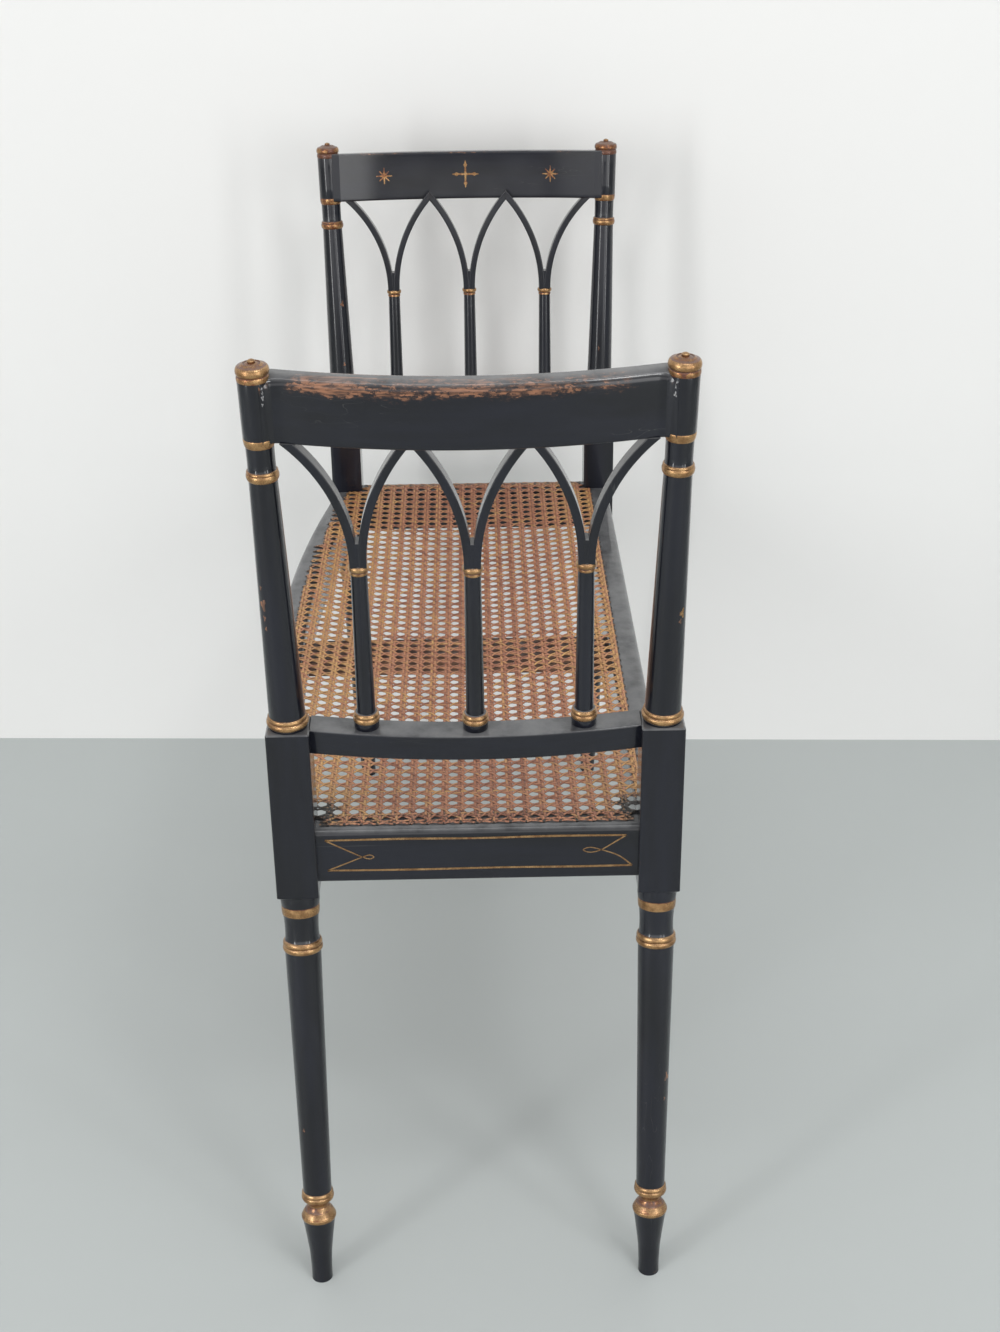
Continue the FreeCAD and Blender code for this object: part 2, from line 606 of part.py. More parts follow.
def finish_long_rail(body, side, brace_end):
    """Add the end tenons and the mortise for the brace, whose shoulder ends at a given distance."""
    middle = f"({side} * (post_y + rail_tenon_out))"
    for sign in (-1, 1):
        tenon = new_sketch(body, "YZ_Plane", lifted(f"{sign} * {INNER_X}"))
        rectangle(tenon, f"{middle} - rail_tenon_thick / 2", RAIL_TENON_LOW,
                  f"{middle} + rail_tenon_thick / 2", RAIL_TENON_HIGH)
        extrude(body, "Pad", tenon, "rail_tenon_length", reverse=sign < 0)
    mortise = new_sketch(body, "XZ_Plane", lifted(f"{-side} * {brace_end}"))
    half_width = "(brace_tenon_width / 2 + joint_clear)"
    middle = f"({RAIL_BOTTOM} + brace_height / 2)"
    rectangle(mortise, f"-{half_width}", f"{middle} - brace_tenon_height / 2 - joint_clear",
              half_width, f"{middle} + brace_tenon_height / 2 + joint_clear")
    extrude(body, "Pocket", mortise, "brace_tenon_length + joint_clear", reverse=side < 0)


def make_front_rail():
    """Make the front seat rail, bowed outwards in plan."""
    body = new_body("front_rail", place("0", "0", "0"))
    outer = f"(post_y + {HALF_BLOCK} - front_setback)"
    plan = new_sketch(body, "XY_Plane", lifted(RAIL_BOTTOM))
    draw(plan, [
        (f"-{INNER_X}", f"-{outer}", "out", "front_bow"),
        (INNER_X, f"-{outer}"),
        (INNER_X, f"rail_thick - {outer}", "in", "front_bow"),
        (f"-{INNER_X}", f"rail_thick - {outer}"),
    ])
    extrude(body, "Pad", plan, "rail_height")
    finish_long_rail(body, -1, BRACE_FRONT)


def make_back_rail():
    """Make the straight back seat rail."""
    body = new_body("back_rail", place("0", "0", "0"))
    outer = f"(post_y + {HALF_BLOCK} - rail_setback)"
    plan = new_sketch(body, "XY_Plane", lifted(RAIL_BOTTOM))
    rectangle(plan, f"-{INNER_X}", f"{outer} - rail_thick", INNER_X, outer)
    extrude(body, "Pad", plan, "rail_height")
    finish_long_rail(body, 1, BRACE_BACK)


def make_seat_brace():
    """Make the cross brace between the front and back rails, flush with their undersides."""
    body = new_body("seat_brace", place("0", "0", RAIL_BOTTOM))
    plan = new_sketch(body, "XY_Plane")
    rectangle(plan, "-brace_width / 2", f"-{BRACE_FRONT}", "brace_width / 2", BRACE_BACK)
    extrude(body, "Pad", plan, "brace_height")
    tenons = new_sketch(body, "XY_Plane", lifted("(brace_height - brace_tenon_height) / 2"))
    rectangle(tenons, "-brace_tenon_width / 2", f"-{BRACE_FRONT} - brace_tenon_length",
              "brace_tenon_width / 2", f"{BRACE_BACK} + brace_tenon_length")
    extrude(body, "Pad", tenons, "brace_tenon_height")


def front_arc(inset):
    """Return the sagitta arc of the front rail's outer face, moved inwards, as centre y and radius."""
    half, bow = number(INNER_X), number("front_bow")
    radius = (half ** 2 + bow ** 2) / (2 * bow)
    return radius - number(FRONT_REACH), radius - inset


def make_cane_seat():
    """Make the cane as one holed sheet on the rails, notched round the blocks."""
    half_block = number(HALF_BLOCK)
    margin = number("cane_margin")
    side_x = number("post_x") + half_block - number("rail_setback") - margin
    side_y = number("post_y") - half_block - number("cane_clear")
    long_x = number("post_x") - half_block - number("cane_clear")
    back_y = number("post_y") + half_block - number("rail_setback") - margin
    centre, radius = front_arc(margin)
    front_y = centre - math.sqrt(radius ** 2 - long_x ** 2)

    corners = [(long_x, front_y), (long_x, -side_y), (side_x, -side_y), (side_x, side_y), (long_x, side_y),
               (long_x, back_y), (-long_x, back_y), (-long_x, side_y), (-side_x, side_y),
               (-side_x, -side_y), (-long_x, -side_y), (-long_x, front_y)]
    points = [Vector(x, y, 0) for x, y in corners]
    front = Part.Arc(points[-1], Vector(0, centre - radius, 0), points[0]).toShape()
    outline = Part.Wire([front, *Part.makePolygon(points).Edges])

    pitch, gap, border = number("cane_pitch"), number("cane_gap"), number("cane_border")
    room_x = number(INNER_X) - border
    room_back = number("post_y") + half_block - number("rail_setback") - number("rail_thick") - border
    inner_centre, inner_radius = front_arc(number("rail_thick") + border)
    columns = math.floor((2 * room_x - gap) / pitch) + 1
    gaps = []
    for column in range(columns):
        x = (column - (columns - 1) / 2) * pitch
        far_side = abs(x) + gap / 2
        room_front = inner_centre - math.sqrt(inner_radius ** 2 - far_side ** 2)
        rows = math.floor((room_back - room_front - gap) / pitch) + 1
        for place_in_row in range(rows):
            y = room_back - gap / 2 - place_in_row * pitch
            square = [Vector(x + gap * u / 2, y + gap * v / 2, 0) for u, v in
                      ((-1, -1), (1, -1), (1, 1), (-1, 1), (-1, -1))]
            gaps.append(Part.makePolygon(square))

    face = Part.makeFace([outline, *gaps], "Part::FaceMakerBullseye")
    sheet_piece = doc.addObject("Part::Feature", "cane_seat")
    sheet_piece.Label = "cane_seat"
    sheet_piece.Shape = face.extrude(Vector(0, 0, number("cane_thick")))
    sheet_piece.setExpression("Placement", tie(place("0", "0", "rail_top")))
    PIECES.append(sheet_piece)
    print("cane gaps:", len(gaps))


def check_document():
    """Stop where a piece or feature failed, or a pocket cut nothing."""
    for item in doc.Objects:
        if any(word in item.State for word in ("Invalid", "Error")):
            raise RuntimeError(f"{item.Name} did not build: {item.State}")
        if item.TypeId == "PartDesign::Pocket":
            if item.Shape.Volume > item.BaseFeature.Shape.Volume - 1:
                raise RuntimeError(f"{item.Name} cut nothing")
    for piece in PIECES:
        if piece.Shape.isNull() or not piece.Shape.isValid() or len(piece.Shape.Solids) != 1:
            raise RuntimeError(f"{piece.Label} is not one valid solid")


def write_pieces():
    """Write each piece to its own STEP file."""
    os.makedirs("parts", exist_ok=True)
    for piece in PIECES:
        piece.Shape.exportStep(f"parts/{piece.Label}.step")
    box = FreeCAD.BoundBox()
    for piece in PIECES:
        box.add(piece.Shape.BoundBox)
    print(len(PIECES), "pieces,", f"{box.XLength:.1f} x {box.YLength:.1f} x {box.ZLength:.1f} mm")


def main():
    """Make the whole seat."""
    for end in ("near", "far"):
        make_post(f"post_{end}_front", end, -1)
        make_post(f"post_{end}_back", end, 1)
        make_end(end)
        make_end_rail(end)
    make_front_rail()
    make_back_rail()
    make_seat_brace()
    make_cane_seat()
    doc.recompute()
    check_document()
    write_pieces()


main()
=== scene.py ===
"""Looks of a black and gilt window seat with a caned seat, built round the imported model.

Lengths are in millimetres until a mesh is made. The end frame of a raised end has x outwards, y along
its rails and z up the lean of its columns, from the point midway between the tops of its two blocks.
"""

import logging
import math
from dataclasses import dataclass, field
from enum import Enum, IntEnum
from typing import Callable, Mapping, Sequence

import bmesh
import bpy
import numpy as np
from mathutils import Matrix, Vector


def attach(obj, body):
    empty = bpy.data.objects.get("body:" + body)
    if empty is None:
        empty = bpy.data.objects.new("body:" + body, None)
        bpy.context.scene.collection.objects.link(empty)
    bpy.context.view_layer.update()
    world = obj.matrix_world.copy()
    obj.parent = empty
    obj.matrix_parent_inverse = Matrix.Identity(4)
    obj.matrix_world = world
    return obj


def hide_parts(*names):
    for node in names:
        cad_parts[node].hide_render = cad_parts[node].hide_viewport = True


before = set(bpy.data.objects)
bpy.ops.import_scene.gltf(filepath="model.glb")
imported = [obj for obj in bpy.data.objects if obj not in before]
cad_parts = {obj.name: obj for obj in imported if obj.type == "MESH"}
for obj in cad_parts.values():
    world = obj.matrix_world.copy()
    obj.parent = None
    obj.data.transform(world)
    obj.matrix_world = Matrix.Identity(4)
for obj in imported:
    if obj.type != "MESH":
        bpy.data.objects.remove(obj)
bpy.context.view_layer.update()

LOG = logging.getLogger("window_seat")
METRE = 0.001
BODY = "root"
WOOD_SLOT = "ebonised_wood"
CANE_SLOT = "cane"
WEAR = "wear"
TONE = "tone"
SOOT = "soot"
EDGE = "edge"
EVEN = (1.0, 1.0, 1.0)

Array = np.ndarray
Place = Callable[[Array], Array]
Surface = Callable[[Array, float], Array]
Material = bpy.types.Material
Node = bpy.types.Node
Socket = bpy.types.NodeSocket
Tree = bpy.types.NodeTree


class Sign(IntEnum):
    """A place by the sign of its coordinate."""

    @property
    def word(self) -> str:
        """Return the place's name as the nodes spell it."""
        return self.name.lower()


class End(Sign):
    """The two raised ends, along x."""

    NEAR = 1
    FAR = -1


class Side(Sign):
    """Front and back, along y."""

    FRONT = -1
    BACK = 1


class Coat(IntEnum):
    """Number of each material on a wooden piece."""

    PAINT = 0
    GILT = 1
    # white ground; at the crest joints its pale patches are partly painted highlights
    GROUND = 2


class Grain(Enum):
    """Direction in which a piece is rubbed and scratched, as the stretch of its pattern."""

    ALONG_X = (0.1, 1.0, 1.0)
    ALONG_Y = (1.0, 0.1, 1.0)
    ALONG_Z = (1.0, 1.0, 0.1)


def rows(*columns: Array | float) -> Array:
    """Return points from their coordinates, each an array or one number for all."""
    return np.stack(np.broadcast_arrays(*columns), axis=-1)


@dataclass(frozen=True)
class Layout:
    """Places and sizes that several pieces share."""

    height: float = 810.0
    post_x: float = 382.0
    post_y: float = 146.0
    half_block: float = 17.0
    block_bottom: float = 358.5
    block_top: float = 509.0
    foot_splay: float = 62.0
    foot_toe: float = 4.0
    head_lean: float = 21.0
    head_flare: float = 6.0
    rail_top: float = 419.0
    rail_bottom: float = 371.5
    rail_setback: float = 6.0
    rail_thick: float = 28.0
    front_face: float = 160.0
    front_bow: float = 33.6
    shift: float = 15.3

    @property
    def lean(self) -> float:
        """Return the lean of the raised ends, in radians."""
        return math.atan2(self.head_lean, self.height - self.block_top)

    @property
    def inner_x(self) -> float:
        """Return the distance of the blocks' inner faces from the middle, along x."""
        return self.post_x - self.half_block

    @property
    def inner_y(self) -> float:
        """Return the distance of the blocks' inner faces from the middle, along y."""
        return self.post_y - self.half_block

    @property
    def rail_x(self) -> float:
        """Return the distance of the end rails' outer faces from the middle."""
        return self.post_x + self.half_block - self.rail_setback

    @property
    def rail_y(self) -> float:
        """Return the distance of the back rail's outer face from the middle line."""
        return self.post_y + self.half_block - self.rail_setback

    def in_room(self, points: Array) -> Array:
        """Move points from the middle line between the posts to the shared frame."""
        return points + np.array([0.0, self.shift, 0.0])

    def from_end(self, end: End, points: Array) -> Array:
        """Place points of an end frame.

        Args:
            end: The raised end.
            points: Points in its end frame.

        Returns:
            The points in the shared frame.
        """
        cos, sin = math.cos(self.lean), math.sin(self.lean)
        x, y, z = points[..., 0], points[..., 1], points[..., 2]
        along = end * (self.post_x + x * cos + z * sin)
        return self.in_room(rows(along, y, self.block_top - x * sin + z * cos))

    def front_at(self, x: Array | float) -> Array | float:
        """Return how far the bowed front face stands from the middle line at each x."""
        return self.front_face + self.front_bow * (1 - (x / self.inner_x) ** 2)


LAYOUT = Layout()


class Bench:
    """Adds nodes to one shader tree and links them."""

    def __init__(self, tree: Tree) -> None:
        """Keep the tree to work on."""
        self.tree = tree

    def fill(self, node: Node, inputs: Mapping) -> Node:
        """Set or link sockets of a node.

        Args:
            node: The node.
            inputs: Its sockets by name or number, each with a plain value or a socket to link from.

        Returns:
            The same node.
        """
        for name, value in inputs.items():
            if isinstance(value, Socket):
                self.tree.links.new(value, node.inputs[name])
            else:
                node.inputs[name].default_value = value
        return node

    def add(self, kind: str, inputs: Mapping | None = None, **settings: object) -> Node:
        """Add a shader node.

        Args:
            kind: Type of the node, after the words that all of them begin with.
            inputs: Sockets to set or link.
            settings: Attributes of the node.

        Returns:
            The new node.
        """
        node = self.tree.nodes.new(f"ShaderNode{kind}")
        for name, value in settings.items():
            setattr(node, name, value)
        return self.fill(node, inputs or {})

    def maths(self, operation: str, *values: Socket | float) -> Socket:
        """Return the result of a sum."""
        return self.add("Math", dict(enumerate(values)), operation=operation).outputs[0]

    def layers(self, colour: Socket | tuple, *layers: tuple) -> Socket:
        """Lay colours over a first one.

        Args:
            colour: The first colour.
            layers: Pairs of a share and the colour that it brings, in order.

        Returns:
            The mixed colour.
        """
        for share, over in layers:
            colour = self.add("Mix", {0: share, 6: colour, 7: over}, data_type="RGBA").outputs[2]
        return colour

    def spread(self, value: Socket, low: float, high: float, to: tuple = (0.0, 1.0)) -> Socket:
        """Return a value whose range from low to high is mapped to another, with soft ends."""
        ends = {"Value": value, "From Min": low, "From Max": high, "To Min": to[0], "To Max": to[1]}
        return self.add("MapRange", ends, interpolation_type="SMOOTHSTEP").outputs["Result"]

    def noise(self, where: Socket, scale: Socket | float, detail: float, rough: float = 0.5) -> Socket:
        """Return a noise at some place."""
        values = {"Vector": where, "Scale": scale, "Detail": detail, "Roughness": rough}
        return self.add("TexNoise", values).outputs["Fac"]

    def stretched(self, where: Socket, stretch: Socket) -> Socket:
        """Return coordinates drawn out by a stretch."""
        return self.add("VectorMath", {0: where, 1: stretch}, operation="MULTIPLY").outputs[0]

    def place(self) -> Socket:
        """Return the object's own coordinates."""
        return self.add("TexCoord").outputs["Object"]

    def number(self, name: str) -> Socket:
        """Return a number that the mesh keeps for each point."""
        return self.add("Attribute", attribute_name=name).outputs["Fac"]

    def bump(self, height: Socket, strength: float, distance: float = 0.0003) -> Socket:
        """Return the normals of an uneven skin."""
        values = {"Height": height, "Strength": strength, "Distance": distance}
        return self.add("Bump", values).outputs["Normal"]

    def group(self, tree: Tree, **inputs: object) -> Mapping[str, Socket]:
        """Place a node group with its own values and return its outputs."""
        return self.add("Group", inputs, node_tree=tree).outputs


class Effects:
    """Shader node groups that more than one finish uses."""

    def __init__(self) -> None:
        """Build each group once."""
        self.mottle = self._mottle()
        self.rubbing = self._rubbing()
        self.dust = self._dust()
        self.scratches = self._scratches()

    @staticmethod
    def _open(name: str, **inputs: float | tuple) -> tuple[Bench, Mapping[str, Socket]]:
        """Begin a group.

        Args:
            name: Name of the group.
            inputs: Its inputs by name, each with its default, a number or a vector.

        Returns:
            A bench for its tree, and its inputs to link from.
        """
        tree = bpy.data.node_groups.new(name, "ShaderNodeTree")
        for label, default in inputs.items():
            kind = "NodeSocketVector" if isinstance(default, tuple) else "NodeSocketFloat"
            tree.interface.new_socket(label, in_out="INPUT", socket_type=kind).default_value = default
        return Bench(tree), tree.nodes.new("NodeGroupInput").outputs

    @staticmethod
    def _close(bench: Bench, **results: Socket) -> Tree:
        """End a group.

        Args:
            bench: Bench of the group.
            results: What it puts out, by the names of its outputs.

        Returns:
            The group.
        """
        for label in results:
            bench.tree.interface.new_socket(label, in_out="OUTPUT", socket_type="NodeSocketFloat")
        bench.fill(bench.tree.nodes.new("NodeGroupOutput"), results)
        return bench.tree

    def _mottle(self) -> Tree:
        """Build slow and fine changes of tone.

        Returns:
            The group.
        """
        bench, given = self._open("mottle", Stretch=EVEN, Scale=40.0)
        where = bench.stretched(bench.place(), given["Stretch"])
        slow = bench.noise(where, given["Scale"], 4.0, 0.6)
        fine = bench.noise(where, bench.maths("MULTIPLY", given["Scale"], 14.0), 3.0)
        return self._close(bench, Slow=bench.spread(slow, 0.3, 0.7), Fine=bench.spread(fine, 0.3, 0.7))

    def _rubbing(self) -> Tree:
        """Build the mask of places rubbed through, which follow the wear of the mesh.

        Returns:
            The group.
        """
        bench, given = self._open("rubbing", Stretch=EVEN, Scale=60.0, Reach=0.4, Limit=0.78)
        where = bench.stretched(bench.place(), given["Stretch"])
        fine = bench.noise(where, given["Scale"], 6.0, 0.7)
        broad = bench.noise(where, bench.maths("MULTIPLY", given["Scale"], 0.16), 3.0)
        noise = bench.maths("MULTIPLY_ADD", fine, 0.6, bench.maths("MULTIPLY", broad, 0.4))
        raised = bench.maths("MULTIPLY_ADD", bench.number(WEAR), given["Reach"], noise)
        over = bench.maths("SUBTRACT", raised, given["Limit"])
        return self._close(bench, Mask=bench.spread(over, 0.0, 0.02), Rim=bench.spread(over, -0.09, 0.03))

    def _dust(self) -> Tree:
        """Build the mask of dust that has settled on faces that look up; the black paint turns it up to paint
        in the sheen of those faces too.

        Returns:
            The group.
        """
        bench, given = self._open("dust", Amount=0.5, Scale=35.0)
        normal = bench.add("NewGeometry").outputs["Normal"]
        up = bench.add("SeparateXYZ", {0: normal}).outputs["Z"]
        noise = bench.noise(bench.place(), given["Scale"], 5.0, 0.6)
        settled = bench.maths("MULTIPLY", bench.spread(up, 0.2, 0.95), bench.spread(noise, 0.05, 0.75))
        return self._close(bench, Mask=bench.maths("MULTIPLY", settled, given["Amount"]))

    def _scratches(self) -> Tree:
        """Build the mask of straight hairline scratches.

        Returns:
            The group.
        """
        bench, given = self._open("scratches", Stretch=EVEN, Scale=260.0)
        along = bench.stretched(bench.place(), given["Stretch"])
        lines = bench.noise(bench.stretched(along, given["Stretch"]), given["Scale"], 1.0)
        off_line = bench.maths("ABSOLUTE", bench.maths("SUBTRACT", lines, 0.5))
        thin = bench.spread(off_line, 0.0, 0.01, (1.0, 0.0))
        some = bench.spread(bench.noise(along, 40.0, 5.0), 0.56, 0.7, (0.0, 0.6))
        return self._close(bench, Mask=bench.maths("MULTIPLY", thin, some))


def new_material(name: str) -> tuple[Material, Bench, Node]:
    """Start a material.

    Args:
        name: Name of the material.

    Returns:
        The material, a bench for its tree and its main shader.
    """
    material = bpy.data.materials.new(name)
    material.use_nodes = True
    return material, Bench(material.node_tree), material.node_tree.nodes["Principled BSDF"]


@dataclass(frozen=True)
class BlackPaint:
    """Old black paint over a brown wood, rubbed through at the edges, and grey on top from dust and painted
    sheen.
    """

    grain: Grain
    black: tuple = (0.0022, 0.0027, 0.0054, 1.0)
    faded: tuple = (0.0046, 0.0056, 0.0120, 1.0)
    undercoat: tuple = (0.045, 0.021, 0.014, 1.0)
    bare_wood: tuple = (0.27, 0.122, 0.064, 1.0)
    dust_and_sheen_grey: tuple = (0.25, 0.253, 0.257, 1.0)
    scratch_grey: tuple = (0.06, 0.06, 0.06, 1.0)
    # grey on faces that look up: dust, and painted sheen on those faces
    dust: float = 0.52
    least_stretch: float = 0.42
    waviness: float = 6.0
    varnish: float = 0.85

    def material(self, effects: Effects) -> Material:
        """Build the paint for pieces of one grain.

        Args:
            effects: The shared node groups.

        Returns:
            The material.
        """
        material, bench, shader = new_material(f"black_paint_{self.grain.name.lower()}")
        stretch = self.grain.value
        short = tuple(max(part, self.least_stretch) for part in stretch)
        mottle = bench.group(effects.mottle, Stretch=stretch, Scale=45.0)
        uneven = bench.group(effects.mottle, Stretch=short, Scale=62.0)
        rubbing = bench.group(effects.rubbing, Stretch=short, Scale=440.0, Reach=0.40, Limit=0.885)
        # dust mask, made strong enough to also paint in the sheen that faces looking up catch
        dust = bench.group(effects.dust, Amount=self.dust, Scale=42.0)["Mask"]
        scratches = bench.group(effects.scratches, Stretch=stretch, Scale=190.0)["Mask"]
        bare = rubbing["Mask"]
        wood = bench.layers(self.bare_wood, (mottle["Fine"], self.undercoat))
        colour = bench.layers(self.black, (mottle["Slow"], self.faded), (scratches, self.scratch_grey),
                              (rubbing["Rim"], self.undercoat), (bare, wood), (dust, self.dust_and_sheen_grey))
        rough = bench.spread(mottle["Slow"], 0.0, 1.0, (0.28, 0.42))
        rough = bench.maths("MULTIPLY_ADD", bare, 0.12, rough)
        rough = bench.maths("MULTIPLY_ADD", dust, 0.5, rough)
        height = bench.maths("MULTIPLY_ADD", bare, -0.8, mottle["Fine"])
        height = bench.maths("SUBTRACT", height, scratches)
        height = bench.maths("MULTIPLY_ADD", uneven["Slow"], self.waviness, height)
        bench.fill(shader, {"Base Color": colour, "Roughness": rough,
                            "Normal": bench.bump(height, 0.12, 0.0004), "Coat Weight": self.varnish,
                            "Coat Roughness": 0.12, "Specular IOR Level": 0.12})
        return material


@dataclass(frozen=True)
class Gilding:
    """Dull gilding, rubbed to its red ground and to black."""

    gold: tuple = (0.46, 0.280, 0.130, 1.0)
    dull: tuple = (0.25, 0.135, 0.060, 1.0)
    ground: tuple = (0.20, 0.066, 0.030, 1.0)
    dust_tan: tuple = (0.42, 0.345, 0.28, 1.0)
    black: tuple = (0.012, 0.010, 0.010, 1.0)
    dust: float = 0.22

    def material(self, effects: Effects) -> Material:
        """Build the gilding.

        Args:
            effects: The shared node groups.

        Returns:
            The material.
        """
        material, bench, shader = new_material("gilding")
        mottle = bench.group(effects.mottle, Stretch=EVEN, Scale=130.0)
        rubbing = bench.group(effects.rubbing, Stretch=EVEN, Scale=210.0, Reach=0.3, Limit=0.76)
        dust = bench.group(effects.dust, Amount=self.dust, Scale=90.0)["Mask"]
        worn = bench.layers(self.ground, (mottle["Fine"], self.black))
        colour = bench.layers(self.gold, (mottle["Slow"], self.dull), (rubbing["Rim"], self.ground),
                              (rubbing["Mask"], worn), (dust, self.dust_tan))
        bench.fill(shader, {"Base Color": colour,
                            "Metallic": bench.spread(rubbing["Mask"], 0.0, 1.0, (0.85, 0.1)),
                            "Roughness": bench.spread(mottle["Fine"], 0.0, 1.0, (0.20, 0.36)),
                            "Normal": bench.bump(mottle["Fine"], 0.15)})
        return material


@dataclass(frozen=True)
class WhiteGroundAndGlint:
    """White ground that shows where the paint is chipped, soiled with age; at the crest joints its pale
    patches also paint in highlights.
    """

    pale_and_glint: tuple = (0.36, 0.36, 0.37, 1.0)
    soiled: tuple = (0.05, 0.05, 0.052, 1.0)

    def material(self, effects: Effects) -> Material:
        """Build the ground.

        Args:
            effects: The shared node groups.

        Returns:
            The material.
        """
        material, bench, shader = new_material("white_ground_and_glint")
        mottle = bench.group(effects.mottle, Stretch=EVEN, Scale=60.0)
        colour = bench.layers(self.pale_and_glint, (mottle["Fine"], self.soiled))
        bench.fill(shader, {"Base Color": colour, "Roughness": 0.45})
        return material


@dataclass(frozen=True)
class Cane:
    """Old cane, orange-tan, with darker strands, blackened ends and painted shade along the edges of each
    strand.
    """

    tan: tuple = (0.50, 0.212, 0.110, 1.0)
    golden: tuple = (0.60, 0.335, 0.115, 1.0)
    brown: tuple = (0.28, 0.100, 0.052, 1.0)
    shadow: tuple = (0.080, 0.028, 0.015, 1.0)
    dust_tan: tuple = (0.36, 0.32, 0.28, 1.0)
    soot: tuple = (0.020, 0.016, 0.013, 1.0)
    dust: float = 0.04

    def material(self, effects: Effects) -> Material:
        """Build the cane.

        Args:
            effects: The shared node groups.

        Returns:
            The material.
        """
        material, bench, shader = new_material("cane")
        mottle = bench.group(effects.mottle, Stretch=EVEN, Scale=28.0)
        dust = bench.group(effects.dust, Amount=self.dust, Scale=60.0)["Mask"]
        tone = bench.number(TONE)
        stain = bench.maths("MULTIPLY", mottle["Slow"], 0.4)
        # painted shade: darker towards each strand's edges, standing in for the shade between strands
        strand_edge_shade = bench.maths("MULTIPLY", bench.maths("POWER", bench.number(EDGE), 2.2), 0.85)
        black = bench.maths("MULTIPLY_ADD", mottle["Fine"], 0.5, bench.number(SOOT))
        colour = bench.layers(self.brown, (bench.spread(tone, 0.0, 0.35), self.tan),
                              (bench.spread(tone, 0.35, 1.0), self.golden), (stain, self.brown),
                              (strand_edge_shade, self.shadow), (dust, self.dust_tan),
                              (bench.spread(black, 0.55, 1.05), self.soot))
        bench.fill(shader, {"Base Color": colour, "Normal": bench.bump(mottle["Fine"], 0.2),
                            "Roughness": bench.spread(mottle["Fine"], 0.0, 1.0, (0.36, 0.56))})
        return material


class Finishes:
    """All materials of the seat."""

    def __init__(self) -> None:
        """Build each material once."""
        effects = Effects()
        self.paint = {grain: BlackPaint(grain).material(effects) for grain in Grain}
        self.gilding = Gilding().material(effects)
        # white ground of chips, also the pale patches that paint highlights at the crest joints
        self.ground = WhiteGroundAndGlint().material(effects)
        self.cane = Cane().material(effects)

    def wooden(self, grain: Grain) -> list[Material]:
        """Return the materials of a wooden piece, in the order of Coat."""
        return [self.paint[grain], self.gilding, self.ground]

    def skin(self, name: str, node: str, grain: Grain, rings: Array, wear: Array | float) -> None:
        """Build a wooden piece that has a single skin.

        Args:
            name: Name of the piece.
            node: Name of the node that it stands for.
            grain: Direction of its grain.
            rings: Its points, as rings by points by three.
            wear: Wear of each point.
        """
        solid = Solid()
        solid.add_rings(rings, **{WEAR: wear})
        solid.build(name, self.wooden(grain), WOOD_SLOT, node)


@dataclass
class Solid:
    """Points and faces of one mesh, with their wear and coats."""

    points: list = field(default_factory=list)
    faces: list = field(default_factory=list)
    coats: list = field(default_factory=list)
    values: dict = field(default_factory=dict)
    count: int = 0

    def add_rings(self, rings: Array, coats: Sequence[int] | int = Coat.PAINT,
                  **values: Array | float) -> None:
        """Join rings of points into a closed skin with a flat face at each end.

        Args:
            rings: Points as rings by points by three.
            coats: Coat of each band between two rings, or one for all.
            values: Numbers to keep for each point, as rings by points or less.
        """
        bands, around = rings.shape[0] - 1, rings.shape[1]
        if isinstance(coats, int):
            coats = [coats] * bands
        for band in range(bands):
            low = self.count + band * around
            for here in range(around):
                after = (here + 1) % around
                self.faces.append((low + here, low + after, low + after + around, low + here + around))
                self.coats.append(int(coats[band]))
        top = self.count + bands * around
        self.faces.append(tuple(range(self.count, self.count + around)))
        self.faces.append(tuple(range(top, top + around)))
        self.coats += [int(coats[0]), int(coats[-1])]
        self.points.append(rings.reshape(-1, 3))
        for name, numbers in values.items():
            spread = np.broadcast_to(numbers, rings.shape[:2])
            self.values.setdefault(name, []).append(np.array(spread, np.float32).ravel())
        self.count += rings.shape[0] * around

    def build(self, name: str, materials: Sequence, slot: str, *nodes: str, crease: float = 35.0) -> None:
        """Make the mesh, put it on the seat's body and let it stand for its nodes.

        Args:
            name: Name of the piece.
            materials: Its materials, in the order of their numbers.
            slot: The record's material slot; not used.
            nodes: Names of the nodes that it stands for.
            crease: Angle in degrees above which an edge is sharp.
        """
        mesh = bpy.data.meshes.new(name)
        mesh.from_pydata(np.concatenate(self.points) * METRE, [], self.faces)
        for material in materials:
            mesh.materials.append(material)
        mesh.polygons.foreach_set("material_index", np.array(self.coats, np.int32))
        for label, parts in self.values.items():
            layer = mesh.attributes.new(label, "FLOAT", "POINT")
            layer.data.foreach_set("value", np.concatenate(parts))
        skin = bmesh.new()
        skin.from_mesh(mesh)
        bmesh.ops.recalc_face_normals(skin, faces=skin.faces)
        for face in skin.faces:
            face.smooth = True
        for edge in skin.edges:
            edge.smooth = edge.calc_face_angle(0.0) < math.radians(crease)
        skin.to_mesh(mesh)
        skin.free()
        piece = bpy.data.objects.new(name, mesh)
        bpy.context.scene.collection.objects.link(piece)
        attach(piece, BODY)
        if nodes:
            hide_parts(*nodes)
        LOG.info("%s: %d points", name, self.count)


@dataclass(frozen=True)
class Axis:
    """Axis of a turning: where heights count from, a point on the way up, and the way to the shared frame."""

    start: Array
    end: Array
    place: Place

    def at(self, heights: Array, radii: Array, turns: Array) -> Array:
        """Return points round the axis.

        Args:
            heights: How far along the axis they are.
            radii: How far from it they stand.
            turns: Their angles from outwards to the back.

        Returns:
            The points in the shared frame.
        """
        ahead = (self.end - self.start) / np.linalg.norm(self.end - self.start)
        outwards = np.cross(np.array([0.0, 1.0, 0.0]), ahead)
        outwards /= np.linalg.norm(outwards)
        circle = np.cos(turns)[..., None] * outwards + np.sin(turns)[..., None] * np.cross(ahead, outwards)
        return self.place(self.start + ahead * heights[..., None] + circle * radii[..., None])


@dataclass(frozen=True)
class Flake:
    """Chip in the paint of a turned shaft, turned in degrees from outwards to the back."""

    on_leg: bool
    height: float
    turn: float
    size: float
    coat: Coat = Coat.PAINT


